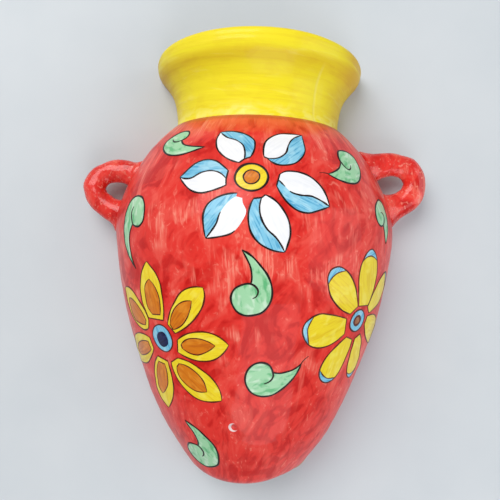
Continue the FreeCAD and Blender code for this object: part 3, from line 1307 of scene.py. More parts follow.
@dataclass(frozen=True)
class PulledHandle:
    """A loop handle pulled from a coil: its centre line in (distance from the axis, height)."""

    name: str
    node: str
    side: int
    width: float
    depth: float
    route: tuple[Pair, ...]
    seed: float
    flare: float = 0.30
    flare_reach: float = 6.0
    standoff: float = 16.0
    sections: int = 56
    facets: int = 28
    root: float = 9.0
    sink: float = 3.0
    swell: float = 0.12
    swell_length: float = 16.0
    dent: float = 0.9
    dent_size: float = 9.0

    def frames(self) -> list[Matrix]:
        """Where each section of the loop lies.

        Returns:
            The place, turn and size of each section of a unit round.
        """
        path = Path(self.route)
        out = Vector((0.0, -1.0, 0.0))
        found = []
        for index in range(self.sections + 1):
            place = -self.root + (path.length + 2 * self.root) * index / self.sections
            inside = min(max(place, 0.0), path.length)
            heading = path.heading(inside)
            centre = path.at(inside) + heading * (place - inside)
            along = Vector((self.side * heading.x, 0.0, heading.y))
            turn = Matrix((out.cross(along), out, along)).transposed().to_4x4()
            swell = 1 + self.swell * noise.noise(Vector((place / self.swell_length, self.seed, 0.0)))
            size = Matrix.Diagonal((self.width / 2 * swell, self.depth / 2 * swell, 1.0, 1.0))
            spot = Vector((self.side * centre.x, -self.standoff, centre.y - POT.hole_height))
            found.append(Matrix.Translation(spot) @ turn @ size)
        return found

    def build(self) -> bpy.types.Object:
        """Draw the coil round its route and press its ends on the belly.

        Returns:
            The piece.
        """
        bm = bmesh.new()
        places = self.frames()
        ring = bmesh.ops.create_circle(
            bm, cap_ends=True, segments=self.facets, radius=1.0, matrix=places[0]
        )["verts"]
        edges = list({edge for vert in ring for edge in vert.link_edges})
        middles = {vert: places[0].translation.copy() for vert in ring}
        for before, after in zip(places, places[1:]):
            made = bmesh.ops.extrude_edge_only(bm, edges=edges)["geom"]
            verts = [item for item in made if isinstance(item, bmesh.types.BMVert)]
            edges = [item for item in made if isinstance(item, bmesh.types.BMEdge)]
            bmesh.ops.transform(bm, matrix=after @ before.inverted(), verts=verts)
            middles.update({vert: after.translation.copy() for vert in verts})
        bmesh.ops.edgeloop_fill(bm, edges=edges)
        bmesh.ops.recalc_face_normals(bm, faces=bm.faces)
        for vert in bm.verts:
            self.press(vert, middles[vert])
        bmesh.ops.smooth_vert(
            bm, verts=bm.verts, factor=0.25, use_axis_x=True, use_axis_y=True, use_axis_z=True
        )
        bmesh.ops.recalc_face_normals(bm, faces=bm.faces)
        return publish(self.name, bm, [PALETTE.get(KNEADED_GLAZE)], [self.node])

    def press(self, vert: bmesh.types.BMVert, middle: Vector) -> None:
        """Dent the coil as fingers do, flare it where it meets the belly and end it in the wall.

        Args:
            vert: A point of the coil.
            middle: The coil's centre there.
        """
        lump = noise.noise(vert.co / self.dent_size + Vector((self.seed, 0.0, 0.0)))
        vert.co += vert.normal * lump * self.dent
        gap, _ = self.clearance(vert.co)
        if gap < self.flare_reach:
            share = min(1.0, 1 - gap / self.flare_reach)
            vert.co += (vert.co - middle) * (self.flare * share * share)
        gap, away = self.clearance(vert.co)
        if gap < -self.sink:
            vert.co += away * (-self.sink - gap)

    def clearance(self, point: Vector) -> tuple[float, Vector]:
        """How far a point stands off the belly, and the way out of the belly there.

        Args:
            point: The point.

        Returns:
            The distance, which is negative inside the wall, and the unit direction.
        """
        radius = math.hypot(point.x, point.y)
        place = BELLY.place_at_height(point.z + POT.hole_height)
        heading = BELLY.heading(place)
        gap = (radius - BELLY.at(place).x) * heading.y
        away = Vector((point.x / radius * heading.y, point.y / radius * heading.y, -heading.x))
        return gap, away


# The painted pattern


BLUNT: Pair = (1.0, 1.0)


@dataclass(frozen=True)
class Stroke:
    """A line of the brush in a motif's chart."""

    points: Sequence[Vector]
    width: float
    ends: Pair


@dataclass(frozen=True)
class Field:
    """A filled shape of one colour in a motif's chart, brushed in one direction."""

    points: Sequence[Vector]
    colour: BrushedColour
    axis: float
    lift: float


def curve(points: Sequence[Pair], step: float = 1.4) -> list[Vector]:
    """Close-set points of the smooth curve through given ones."""
    return Path(points).samples(step)


def between(first: Sequence[Pair], second: Sequence[Pair]) -> list[Vector]:
    """The outline of the shape between two curves that run from the same side to the same tip."""
    return curve(first) + curve(second)[-2::-1]


def blob(centre: Pair, radii: Pair, wander: float, seed: float, count: int = 36) -> list[Vector]:
    """A hand-drawn round.

    Args:
        centre: Its middle.
        radii: Its half width and half height.
        wander: How far it strays, as a share of its size.
        seed: Sets one round apart from another.
        count: The number of its points.

    Returns:
        Its outline.
    """
    points = []
    for index in range(count):
        angle = math.tau * index / count
        across, up = math.cos(angle), math.sin(angle)
        size = 1 + wander * noise.noise(Vector((across, up, seed)))
        points.append(Vector((centre[0] + radii[0] * size * across, centre[1] + radii[1] * size * up)))
    return points


@dataclass
class Motif:
    """One painted motif: fields and lines on a chart of the belly round a spot.

    The azimuth of the spot is in degrees from the front to the right, and its height is above the foot.
    """

    name: str
    azimuth: float
    height: float
    line: BrushedColour = LINE
    cell: float = 2.5
    root: float = -0.12
    line_lift: float = 0.18
    line_crown: float = 0.12
    line_swell: float = 0.45
    taper: float = 0.22
    fields: list[Field] = field(default_factory=list)
    strokes: list[Stroke] = field(default_factory=list)

    def fill(self, points: Sequence[Vector], colour: BrushedColour, axis: float, lift: float = 0.10) -> None:
        """Add a field of one colour, brushed in the direction of an axis."""
        self.fields.append(Field(points, colour, axis, lift))

    def draw(self, points: Sequence[Vector], width: float = 1.0, ends: Pair = (0.45, 0.35)) -> None:
        """Add a line of the brush."""
        self.strokes.append(Stroke(points, width, ends))

    def ring(self, outline: Sequence[Vector], width: float) -> None:
        """Add a line round an outline, which runs on a little past its start."""
        self.draw([*outline, *outline[:3]], width, BLUNT)

    def wrap(self, bm: bmesh.types.BMesh) -> None:
        """Move the points of the chart onto the belly.

        Args:
            bm: The mesh.
        """
        spot = BELLY.place_at_height(self.height)
        for vert in bm.verts:
            place = spot + vert.co.y
            azimuth = math.radians(self.azimuth) + vert.co.x / BELLY.at(place).x
            vert.co = on_belly(azimuth, place, vert.co.z)

    def thicken(self, bm: bmesh.types.BMesh) -> None:
        """Give the flat shapes a body that reaches into the glaze under them.

        Args:
            bm: The mesh.
        """
        made = bmesh.ops.extrude_face_region(bm, geom=list(bm.faces), use_keep_orig=True)["geom"]
        for item in made:
            if isinstance(item, bmesh.types.BMVert):
                item.co.z = self.root
        bmesh.ops.recalc_face_normals(bm, faces=bm.faces)

    def paint_fields(self, colour: BrushedColour) -> None:
        """Make one piece of all the fields of a colour.

        Args:
            colour: The colour.
        """
        bm = bmesh.new()
        brush = bm.verts.layers.float_vector.new("brush")
        for seed, shape in enumerate(shape for shape in self.fields if shape.colour is colour):
            verts = [bm.verts.new((point.x, point.y, shape.lift)) for point in shape.points]
            edges = [bm.edges.new((first, after)) for first, after in zip(verts, verts[1:] + verts[:1])]
            bmesh.ops.triangle_fill(bm, edges=edges, use_beauty=True)
            cosine, sine = math.cos(math.radians(shape.axis)), math.sin(math.radians(shape.axis))
            for vert in verts:
                across = vert.co.x * sine - vert.co.y * cosine
                vert[brush] = (across, vert.co.x * cosine + vert.co.y * sine, seed * 3.7)
        self.quarter(bm)
        self.lay(bm, colour.name.split("_")[0], colour)

    def quarter(self, bm: bmesh.types.BMesh) -> None:
        """Cut flat shapes into small cells, so that they can follow the belly.

        Args:
            bm: The mesh.
        """
        for axis in range(2):
            low = min(vert.co[axis] for vert in bm.verts)
            high = max(vert.co[axis] for vert in bm.verts)
            for index in range(1, math.ceil((high - low) / self.cell)):
                spot, facing = [0.0, 0.0, 0.0], [0.0, 0.0, 0.0]
                spot[axis] = low + index * self.cell
                facing[axis] = 1.0
                geometry = list(bm.verts) + list(bm.edges) + list(bm.faces)
                bmesh.ops.bisect_plane(bm, geom=geometry, dist=0.001, plane_co=spot, plane_no=facing)

    def half_width(self, stroke: Stroke, index: int, seed: int) -> float:
        """Half the width of a line at one of its points, with its tapered ends and the brush's swell.

        Args:
            stroke: The line.
            index: The number of the point.
            seed: The number of the line.

        Returns:
            The distance from the line's middle to its side.
        """
        count = len(stroke.points) - 1
        near_start = min(1.0, stroke.ends[0] + index * self.taper)
        near_end = min(1.0, stroke.ends[1] + (count - index) * self.taper)
        wander = noise.noise(Vector((index * 0.23, seed * 5.1, math.radians(self.azimuth))))
        return stroke.width / 2 * min(near_start, near_end) * (1 + self.line_swell * wander)

    def paint_lines(self) -> None:
        """Make one piece of all the lines."""
        bm = bmesh.new()
        brush = bm.verts.layers.float_vector.new("brush")
        for seed, stroke in enumerate(self.strokes):
            count = len(stroke.points) - 1
            grid = bmesh.ops.create_grid(bm, x_segments=count, y_segments=4, size=1.0)["verts"]
            for vert in grid:
                index, across = round((vert.co.x + 1) / 2 * count), vert.co.y
                before = stroke.points[max(index - 1, 0)]
                after = stroke.points[min(index + 1, count)]
                heading = (after - before).normalized()
                aside = Vector((-heading.y, heading.x)) * (across * self.half_width(stroke, index, seed))
                spot = stroke.points[index] + aside
                vert.co = (spot.x, spot.y, self.line_lift + self.line_crown * (1 - across * across))
                vert[brush] = (across, stroke.width * index, seed * 1.9)
        self.lay(bm, "lines", self.line)

    def lay(self, bm: bmesh.types.BMesh, ending: str, colour: BrushedColour) -> None:
        """Thicken the flat shapes, lay them on the belly and finish them.

        Args:
            bm: The shapes.
            ending: The end of the piece's name.
            colour: Their colour.
        """
        self.thicken(bm)
        self.wrap(bm)
        publish(f"{self.name}_{ending}", bm, [PALETTE.get(colour)], [])

    def build(self) -> None:
        """Make every piece of the motif."""
        for colour in (WHITE, BLUE, YELLOW, ORANGE, GREEN, NAVY, BROWN):
            if any(shape.colour is colour for shape in self.fields):
                self.paint_fields(colour)
        self.paint_lines()


@dataclass(frozen=True)
class TwoTonePetal:
    """A petal of two colours that an S-shaped line parts, each curve from the flower's middle to the tip."""

    left: tuple[Pair, ...]
    right: tuple[Pair, ...]
    divider: tuple[Pair, ...]
    blue: Way
    line_parts: tuple[Pair, ...] = ((0.0, 1.0),)
    right_part: Pair = (0.0, 1.0)
    base_line: bool = True


@dataclass(frozen=True)
class NestedPetal:
    """A petal with a smaller one painted inside it."""

    left: tuple[Pair, ...]
    right: tuple[Pair, ...]
    inner_left: tuple[Pair, ...]
    inner_right: tuple[Pair, ...]


@dataclass(frozen=True)
class CappedPetal:
    """A round-ended petal whose end is a crescent of a second colour."""

    outline: tuple[Pair, ...]
    cap: tuple[Pair, ...]


def axis_of(first: Sequence[Pair], second: Sequence[Pair]) -> float:
    """The direction of a petal from the middle of its base to its tip.

    Args:
        first: The curve of one side.
        second: The curve of the other side.

    Returns:
        The angle from the chart's level axis in degrees.
    """
    base = (Vector(first[0]) + Vector(second[0])) / 2
    way = Vector(first[-1]) - base
    return math.degrees(math.atan2(way.y, way.x))


def stretch(points: list[Vector], start: float, end: float) -> list[Vector]:
    """The part of a line between two shares of its length."""
    return points[int(start * len(points)) : math.ceil(end * len(points))]


@dataclass(frozen=True)
class TopFlower:
    """The white and blue flower on the shoulder."""

    petals: tuple[TwoTonePetal, ...] = (
        TwoTonePetal(
            left=((-8, 10.3), (-13, 12), (-18, 15.5), (-22, 21), (-23.2, 27), (-21, 35.7)),
            right=(
                (-1.5, 14.5), (0, 18), (0.8, 23), (0.3, 28), (-2, 31), (-7, 34.5), (-13, 36.3), (-21, 35.7),
            ),
            divider=((-5, 13), (-5, 19), (-6.5, 24), (-10, 27.5), (-17, 31), (-21, 35.7)),
            blue=Way.RIGHT,
        ),
        TwoTonePetal(
            left=((6.5, 15), (6, 20), (7, 27), (10, 31.5), (15, 34.8), (22, 35.8), (30, 35.5)),
            right=(
                (9.5, 12.8), (14.5, 9.8), (20, 9.8), (25, 11.5), (29, 15.5), (31.8, 22), (31, 29),
                (30, 35.5),
            ),
            divider=((8.5, 14), (15.5, 15), (19.5, 19), (21, 25), (23, 30), (30, 35.5)),
            blue=Way.RIGHT,
        ),
        TwoTonePetal(
            left=((16, 3), (19, 5), (25, 5.5), (32, 4), (38, 0.5), (43, -5), (47.3, -15.5)),
            right=((14.3, -4.5), (18, -11), (22, -15.5), (28, -19.2), (34, -20), (40, -18.3), (47.3, -15.5)),
            divider=(
                (15.2, -0.5), (19.5, -5), (22.5, -7.8), (28, -9.5), (36, -10), (40, -11.5), (47.3, -15.5),
            ),
            blue=Way.RIGHT,
            line_parts=((0.0, 0.16), (0.27, 1.0)),
        ),
        TwoTonePetal(
            left=((1.5, -13), (-0.8, -19), (-1, -26), (0.5, -32), (4, -37), (10, -41), (20.3, -43)),
            right=((8, -10.5), (13, -13), (18, -18), (22, -25), (23.3, -32), (21.8, -39), (20.3, -43)),
            divider=((6, -12.3), (5, -18), (6.5, -25), (9.5, -30), (15, -35), (20.3, -43)),
            blue=Way.LEFT,
        ),
        TwoTonePetal(
            left=(
                (-8, -10), (-13, -10.5), (-20, -13), (-25.5, -17.5), (-27.5, -23), (-27, -30),
                (-25.5, -36.5),
            ),
            right=((-5, -13), (-4.5, -16), (-2.5, -20), (-5, -27), (-10, -33), (-18, -35.5), (-25.5, -36.5)),
            divider=(
                (-8.5, -12), (-12, -14.5), (-15, -18), (-17.5, -22), (-19.5, -28), (-22, -32),
                (-25.5, -36.5),
            ),
            blue=Way.LEFT,
            line_parts=((0.42, 1.0),),
            right_part=(0.55, 1.0),
            base_line=False,
        ),
        TwoTonePetal(
            left=((-14.8, -5), (-23, -8.5), (-30, -10), (-36, -8.5), (-41, -4.5), (-45, 0.5)),
            right=((-14, 4.5), (-17, 7.5), (-22, 11.5), (-28, 12.5), (-35, 10), (-40, 5.5), (-45, 0.5)),
            divider=((-15, -1), (-19, 3), (-24, 4.5), (-30, 3.5), (-38, -0.5), (-45, 0.5)),
            blue=Way.RIGHT,
        ),
    )

    def build(self) -> None:
        """Paint the six petals and the eye."""
        motif = Motif("top_flower", -1.7, 204.9)
        for petal in self.petals:
            left_blue = petal.blue is Way.LEFT
            axis = axis_of(petal.left, petal.right)
            motif.fill(between(petal.left, petal.divider), BLUE if left_blue else WHITE, axis)
            motif.fill(between(petal.right, petal.divider), WHITE if left_blue else BLUE, axis)
            motif.draw(curve(petal.left))
            motif.draw(stretch(curve(petal.right), *petal.right_part))
            if petal.base_line:
                base = (petal.left[0], petal.divider[0], petal.right[0])
                motif.draw([Vector(point) for point in base], 0.9, BLUNT)
            for part in petal.line_parts:
                motif.draw(stretch(curve(petal.divider, 1.0), *part))
        eye = blob((-0.3, 0.7), (9.6, 9.0), 0.06, 1.0)
        core = blob((-0.3, 0.6), (4.7, 4.6), 0.08, 2.0)
        motif.fill(eye, YELLOW, 20.0)
        motif.fill(core, ORANGE, 60.0, lift=0.15)
        motif.ring(eye, 1.35)
        motif.ring(core, 0.8)
        motif.build()


@dataclass(frozen=True)
class LeftFlower:
    """The yellow flower with orange inner petals and a blue eye."""

    petals: tuple[NestedPetal, ...] = (
        NestedPetal(
            left=((-10, 12.3), (-14, 21.7), (-14.7, 29.7), (-12.7, 38.3), (-9.7, 44.3), (-5, 49)),
            right=((4, 12.3), (5.7, 18.3), (6, 28.3), (5.3, 36.3), (2.5, 42), (-1, 45.5), (-5, 49)),
            inner_left=((-5.5, 15.2), (-8.7, 19), (-9.7, 26.3), (-8.7, 33.7), (-4, 38)),
            inner_right=((2, 15.7), (3.3, 23), (2.7, 29), (0, 34.3), (-4, 38)),
        ),
        NestedPetal(
            left=((7.3, 10), (10, 17), (15.3, 25), (21.3, 31.7), (28.7, 35), (36, 35.3)),
            right=((12, 4.7), (22, 10.3), (30, 17.7), (35.3, 25.7), (36.7, 31.7), (36, 35.3)),
            inner_left=((9.3, 10.3), (12.7, 18.3), (18.7, 24.3), (23.3, 26.3), (27.7, 26.7)),
            inner_right=((11, 7), (18.7, 11), (23.3, 16.3), (26.7, 23), (27.7, 26.7)),
        ),
        NestedPetal(
            left=((12.7, 0.3), (20, 5), (26.7, 7), (33.3, 7.7), (42, 5), (46.7, 0.3)),
            right=((11.3, -7.7), (16.7, -10.3), (26.7, -12), (35.3, -10.3), (42, -5.7), (46.7, 0.3)),
            inner_left=((15, -2.3), (20, 1.7), (26.7, 3), (33.3, 2), (38.3, -0.7)),
            inner_right=((15.3, -4.7), (20, -7.3), (24.7, -8), (31.3, -5.7), (38.3, -0.7)),
        ),
        NestedPetal(
            left=((10, -12), (16.7, -13), (24.7, -17), (32, -23.7), (35, -31), (34.7, -38.3)),
            right=((4, -15.7), (4, -20.3), (6.7, -28.3), (12, -35), (20, -39.7), (28.7, -40), (34.7, -38.3)),
            inner_left=((10.3, -15.7), (15.3, -16.3), (21.3, -19.7), (25.3, -25), (26.3, -33)),
            inner_right=((8, -18.3), (8, -24.3), (12, -29.7), (18, -33.3), (26.3, -33)),
        ),
        NestedPetal(
            left=((0.7, -15.7), (1.3, -25.7), (0.7, -33.7), (-2, -41), (-6, -47), (-12, -53)),
            right=((-8.7, -13.7), (-14, -19), (-18, -27), (-20, -35), (-20, -43), (-12, -53)),
            inner_left=((-2.7, -18.3), (-2.7, -25), (-4, -31.7), (-8.7, -38.3), (-13.7, -42)),
            inner_right=((-9, -17.5), (-14, -25), (-15.7, -31.7), (-16, -38.3), (-13.7, -42)),
        ),
        NestedPetal(
            left=((-11.7, -9), (-18, -16.3), (-26.7, -22.3), (-36.7, -24.3), (-46.7, -24.7), (-55, -21)),
            right=((-14, -1.7), (-23.3, -0.3), (-33.3, -1.7), (-43.3, -6), (-50, -13), (-55, -21)),
            inner_left=((-15.3, -10.3), (-23.3, -15), (-30, -17), (-36.7, -17.8), (-42, -15)),
            inner_right=((-17.3, -5), (-24.7, -5.7), (-33.3, -8.3), (-38, -11), (-42, -15)),
        ),
        NestedPetal(
            left=((-12.7, 5), (-18, 3), (-24.7, 4.3), (-31.3, 7.7), (-36.7, 13), (-40, 19.7), (-41, 29.7)),
            right=((-10.7, 11), (-13.3, 17), (-20, 24.3), (-26.7, 29), (-34.7, 30.8), (-41, 29.7)),
            inner_left=((-16, 6.7), (-23.3, 7), (-30, 9), (-34, 14.5), (-35, 23)),
            inner_right=((-14, 10.3), (-18, 16.3), (-23.3, 21), (-30, 23.3), (-35, 23)),
        ),
    )

    def build(self) -> None:
        """Paint the seven petals and the eye."""
        motif = Motif("left_flower", -38.7, 106.5, UMBER)
        for petal in self.petals:
            axis = axis_of(petal.left, petal.right)
            motif.fill(between(petal.left, petal.right), YELLOW, axis)
            motif.fill(between(petal.inner_left, petal.inner_right), ORANGE, axis, lift=0.15)
            motif.draw(curve(petal.left), 0.85)
            motif.draw(curve(petal.right), 0.85)
            motif.draw(curve(petal.inner_left), 0.7)
            motif.draw(curve(petal.inner_right), 0.7)
            for first, second in ((petal.left, petal.right), (petal.inner_left, petal.inner_right)):
                start, end = Vector(first[0]), Vector(second[0])
                motif.draw([start, (start + end) / 2, end], 0.7, BLUNT)
        eye = blob((-0.3, 0.0), (8.9, 9.0), 0.06, 3.0)
        core = blob((0.0, -0.8), (5.0, 5.2), 0.10, 4.0)
        motif.fill(eye, BLUE, 110.0)
        motif.fill(core, NAVY, 30.0, lift=0.16)
        motif.ring(eye, 0.8)
        motif.build()


@dataclass(frozen=True)
class RightFlower:
    """The yellow flower whose petals end in blue crescents."""

    petals: tuple[CappedPetal, ...] = (
        CappedPetal(
            outline=(
                (-2.3, 10), (-4, 15.7), (-6.7, 23.7), (-8.3, 31.7), (-7.3, 38), (-3.8, 44), (1, 46.6),
                (6.7, 44), (10.5, 39), (12.7, 33), (13.3, 25), (12, 17), (8.7, 10),
            ),
            cap=((-7.3, 38), (-4.2, 41), (0.7, 42.3), (6, 41.3), (10.5, 39)),
        ),
        CappedPetal(
            outline=(
                (-9.3, 5.3), (-16.7, 7.7), (-23.3, 11.7), (-30, 18.3), (-32.9, 24.3), (-34, 29),
                (-32.8, 33), (-27.3, 35.3), (-20.7, 33), (-15.3, 29), (-10, 23), (-6, 16.3), (-3.3, 9.7),
            ),
            cap=((-32.9, 24.3), (-31.2, 28), (-27.8, 31.2), (-24, 32.4), (-20.7, 33)),
        ),
        CappedPetal(
            outline=(
                (-10, -7.7), (-14.7, -11.7), (-22, -15), (-30, -15.7), (-36, -13.7), (-41.3, -8.3),
                (-43.4, -3.7), (-42.7, 1), (-40, 3.9), (-34.7, 6.3), (-26.7, 5.7), (-18, 4), (-11.7, 2.3),
            ),
            cap=((-36, -13.7), (-38.6, -8), (-40.2, -2.5), (-39.6, 1), (-38, 4.8)),
        ),
        CappedPetal(
            outline=(
                (0, -12.6), (0.3, -19), (-0.7, -25.7), (-2, -32.3), (-4, -37.3), (-6.9, -40.5),
                (-12, -41.8), (-17.3, -39.9), (-20.9, -35.7), (-22, -30.3), (-21.3, -25.7), (-18, -19.7),
                (-13.3, -15), (-6.7, -10.3),
            ),
            cap=((-5, -38.9), (-8.5, -39), (-12.5, -38.6), (-17, -36.3), (-21.3, -32)),
        ),
        CappedPetal(
            outline=(
                (8.7, -9.7), (14, -15), (17.3, -21.7), (20.7, -28.3), (22.3, -35), (21.5, -40), (17.5, -43),
                (12.5, -42), (8.7, -38.8), (6, -33.7), (4, -25), (3.3, -19), (3.3, -12.3),
            ),
            cap=((22.3, -35), (20, -38.5), (16, -39.8), (12, -39.6), (7.6, -37)),
        ),
        CappedPetal(
            outline=(
                (12, 2.3), (20, 3), (30, 1), (38, -3), (43.5, -9), (45, -14.5), (42, -19), (36.5, -20),
                (26.7, -17), (16.7, -10.3), (11.3, -3),
            ),
            cap=((41, -6), (41.5, -11), (40.5, -15.5), (37, -20)),
        ),
        CappedPetal(
            outline=(
                (9.3, 9), (14, 18.3), (22, 27.7), (28, 31), (34, 31.5), (38.5, 28.5), (39.5, 23),
                (36.5, 16.5), (30, 10.3), (22, 7), (13.3, 4.5),
            ),
            cap=((30.5, 31.6), (34.5, 28), (36.8, 24), (37.3, 18)),
        ),
    )

    def build(self) -> None:
        """Paint the seven petals and the eye."""
        motif = Motif("right_flower", 46.2, 120.6, UMBER)
        for petal in self.petals:
            outline = curve(petal.outline)
            cap = curve(petal.cap)
            axis = axis_of(petal.outline[:1] + petal.cap[:1], petal.outline[-1:] + petal.cap[-1:])
            inner, outer = self.part(outline, cap)
            motif.fill(inner, YELLOW, axis)
            motif.fill(outer, BLUE, axis + 90)
            motif.draw(outline, 0.9)
            motif.draw(cap, 0.75)
            motif.draw([outline[-1], (outline[-1] + outline[0]) / 2, outline[0]], 0.7, BLUNT)
        eye = blob((0.5, 0.2), (7.8, 7.3), 0.06, 5.0)
        core = blob((0.1, 0.3), (3.3, 3.1), 0.06, 6.0)
        motif.fill(eye, BLUE, 80.0)
        motif.fill(core, BROWN, 10.0, lift=0.15)
        motif.ring(eye, 1.0)
        motif.ring(core, 1.7)
        motif.build()

    def part(self, outline: list[Vector], cap: list[Vector]) -> tuple[list[Vector], list[Vector]]:
        """Part a petal at the line of its cap.

        Args:
            outline: The petal's outline from one side of its base to the other.
            cap: The line, in the outline's direction.

        Returns:
            The outline of the petal's body and that of its cap.
        """
        start = min(range(len(outline)), key=lambda index: (outline[index] - cap[0]).length)
        end = min(range(len(outline)), key=lambda index: (outline[index] - cap[-1]).length)
        body = outline[: start + 1] + cap[1:-1] + outline[end:]
        return body, outline[start : end + 1] + list(reversed(cap[1:-1]))


@dataclass(frozen=True)
class Scroll:
    """A green comma: its outside from the tail's tip round the head, its inside, and the curl in its head."""

    name: str
    azimuth: float
    height: float
    outside: tuple[Pair, ...]
    curl: tuple[Pair, ...]
    inside: tuple[Pair, ...]
    hair: tuple[Pair, ...] = ()

    def build(self) -> None:
        """Paint the comma and its line."""
        motif = Motif(self.name, self.azimuth, self.height)
        outside = curve(self.outside)
        inside = curve(self.inside)
        ends = (self.outside[-1], self.outside[0])
        motif.fill(outside + inside[::-1][1:-1], GREEN, axis_of(ends, ends))
        motif.draw(curve(self.outside + self.curl), 1.15)
        motif.draw(inside, 1.0, (0.3, 0.8))
        if self.hair:
            motif.draw(curve(self.hair), 0.45, (1.0, 0.3))
        motif.build()


SCROLLS: tuple[Scroll, ...] = (
    Scroll(
        "shoulder_scroll_left", -38.2, 230.7,
        outside=(
            (23.1, -6.5), (16.2, -9.6), (10, -11.5), (3.8, -11.9), (-3.1, -10.8), (-9.2, -7.7),
            (-13.8, -3.1), (-14.6, 0.8), (-13.1, 4.6), (-10, 7.7), (-6.2, 10), (-1.5, 10.8), (2.3, 9.6),
            (4.2, 6.9), (3.8, 3.1), (1.5, 1.2),
        ),
        curl=((-3.1, 0.2), (-6.2, 1.2), (-8.1, 3.1)),
        inside=((23.1, -6.5), (16.2, -5.8), (10, -4.6), (4.6, -2.3), (1.5, 1.2)),
    ),
    Scroll(
        "side_scroll_left", -48.7, 176.7,
        outside=(
            (-0.4, -27.7), (-5.4, -23.1), (-10, -18.5), (-13.8, -13.1), (-15, -6.9), (-14.6, 0.8),
            (-13.1, 8.5), (-10, 14.6), (-5.4, 18.1), (0, 18.8), (5.4, 17.3), (9.2, 13.1), (10.8, 7.7),
            (10, 2.3), (6.2, -0.8), (2.3, -0.8), (-1.5, 0.8),
        ),
        curl=((-3.5, 4.6), (-4.2, 8.5), (-2.7, 11.9)),
        inside=((-0.4, -27.7), (-5, -19.2), (-6.5, -13.1), (-6.2, -6.9), (-3.8, -2.3), (-1.5, 0.8)),
    ),
    Scroll(
        "front_scroll", -0.1, 143.5,
        outside=(
            (-6.9, 20), (-1.5, 16.9), (3.8, 11.5), (8.5, 5.4), (10.8, -0.8), (11.2, -6.2), (9.2, -12.3),
            (5.4, -16.5), (0.8, -18.1), (-3.8, -18.5), (-8.5, -16.5), (-11.5, -12.3), (-12.5, -7.7),
            (-10.8, -3.1), (-6.9, -0.4), (-1.2, 0.6),
        ),
        curl=((0.9, -0.4), (3.1, -3.5), (2.3, -6.5), (0, -8.1)),
        inside=((-6.9, 20), (-4.2, 15.4), (-1.9, 10.8), (-0.9, 6.2), (-0.8, 3.1), (-1.2, 0.6)),
    ),
    Scroll(
        "low_scroll_right", 8.7, 85.1,
        outside=(
            (18.5, 11.5), (16.2, 4.6), (12.3, -1.5), (6.9, -6.9), (1.5, -10.4), (-3.8, -11.2), (-10, -9.2),
            (-13.8, -4.6), (-15.4, 1.5), (-13.8, 7.7), (-10, 11.5), (-6.2, 12.3), (-1.5, 10.4), (0.9, 5.8),
        ),
        curl=((1.5, 3.5), (0.4, 0.4), (-3.8, -2.3)),
        inside=((18.5, 11.5), (13.8, 7.3), (9.2, 5.8), (4.6, 5), (0.9, 5.8)),
        hair=((18.3, 11), (20.5, 14), (23, 16)),
    ),
    Scroll(
        "low_scroll_left", -29.5, 33.7,
        outside=(
            (-8.5, 19.6), (-3.8, 16.9), (0.8, 13.8), (5.4, 8.5), (8.8, 3.1), (10, -2.3), (9.2, -10),
            (6.2, -17.7), (0.8, -21.5), (-5.4, -23.1), (-11.5, -20.8), (-15.8, -16.2), (-17.3, -10),
            (-15.4, -5.4), (-11.5, -1.5), (-6.9, -1.0), (-4, -1.4),
        ),
        curl=((-1.7, -5), (-1.9, -9.2), (-4.2, -12.3)),
        inside=((-8.5, 19.6), (-6.9, 15.4), (-4.2, 10.8), (-3.1, 6.9), (-2.7, 3.1), (-4, -1.4)),
    ),
    Scroll(
        "shoulder_scroll_right", 37.7, 216.4,
        outside=(
            (-16.5, -6.6), (-11.5, -9.2), (-5.4, -10.8), (0.8, -11.2), (6.9, -10), (12.3, -6.2),
            (16.2, -0.8), (17.7, 5.4), (16.2, 11.5), (11.5, 14.6), (6.2, 15), (1.5, 13.8), (-0.8, 10),
            (-1.2, 5),
        ),
        curl=((0.2, 1.6), (3.5, -0.8), (6.2, 0.8), (7.3, 3.1)),
        inside=((-16.5, -6.6), (-10, -3.8), (-5.4, -0.8), (-1.2, 5)),
        hair=((-16, -6.6), (-19, -6.1), (-22.5, -6.4)),
    ),
    Scroll(
        "side_scroll_right", 54.4, 184.4,
        outside=(
            (7.5, -14), (10.5, -8), (12, 0), (11.5, 7), (8.5, 13), (3.1, 15.2), (-2.5, 12.8), (-6.8, 8.7),
            (-8.1, 4.6), (-7, 0.3), (-4, -2.3), (-0.5, -2.8), (2.2, -1.7),
        ),
        curl=((4.6, 0.7), (5.2, 3.2), (3.8, 5.6), (0.5, 6.2)),
        inside=((7.5, -14), (5, -9.5), (3.2, -5), (2.2, -1.7)),
    ),
)


@dataclass(frozen=True)
class SeamCoils:
    """The luting coils inside the pot, which stay as the model has them."""

    nodes: tuple[str, ...] = ("belly_back_coil", "collar_back_coils", "collar_joint_coil")

    def dress(self) -> None:
        """Glaze the coils as the inside is glazed."""
        for name in self.nodes:
            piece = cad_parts[name]
            piece.data.materials.clear()
            piece.data.materials.append(PALETTE.get(LINER_CLAY))
            LOG.info("%s: glazed", name)


# The studio


@dataclass(frozen=True)
class SoftLight:
    """A square panel of soft light that faces the pot: its place and side in metres, its power in watts."""

    name: str
    place: Triple
    size: float
    power: float
    colour: Colour
    aim: Triple = (0.0, -0.05, -0.12)

    def build(self) -> None:
        """Hang the light."""
        data = bpy.data.lights.new(self.name, "AREA")
        data.size = self.size
        data.energy = self.power
        data.color = self.colour
        lamp = bpy.data.objects.new(self.name, data)
        lamp.location = self.place
        way = Vector(self.aim) - Vector(self.place)
        lamp.rotation_euler = way.to_track_quat("-Z", "Y").to_euler()
        bpy.context.scene.collection.objects.link(lamp)


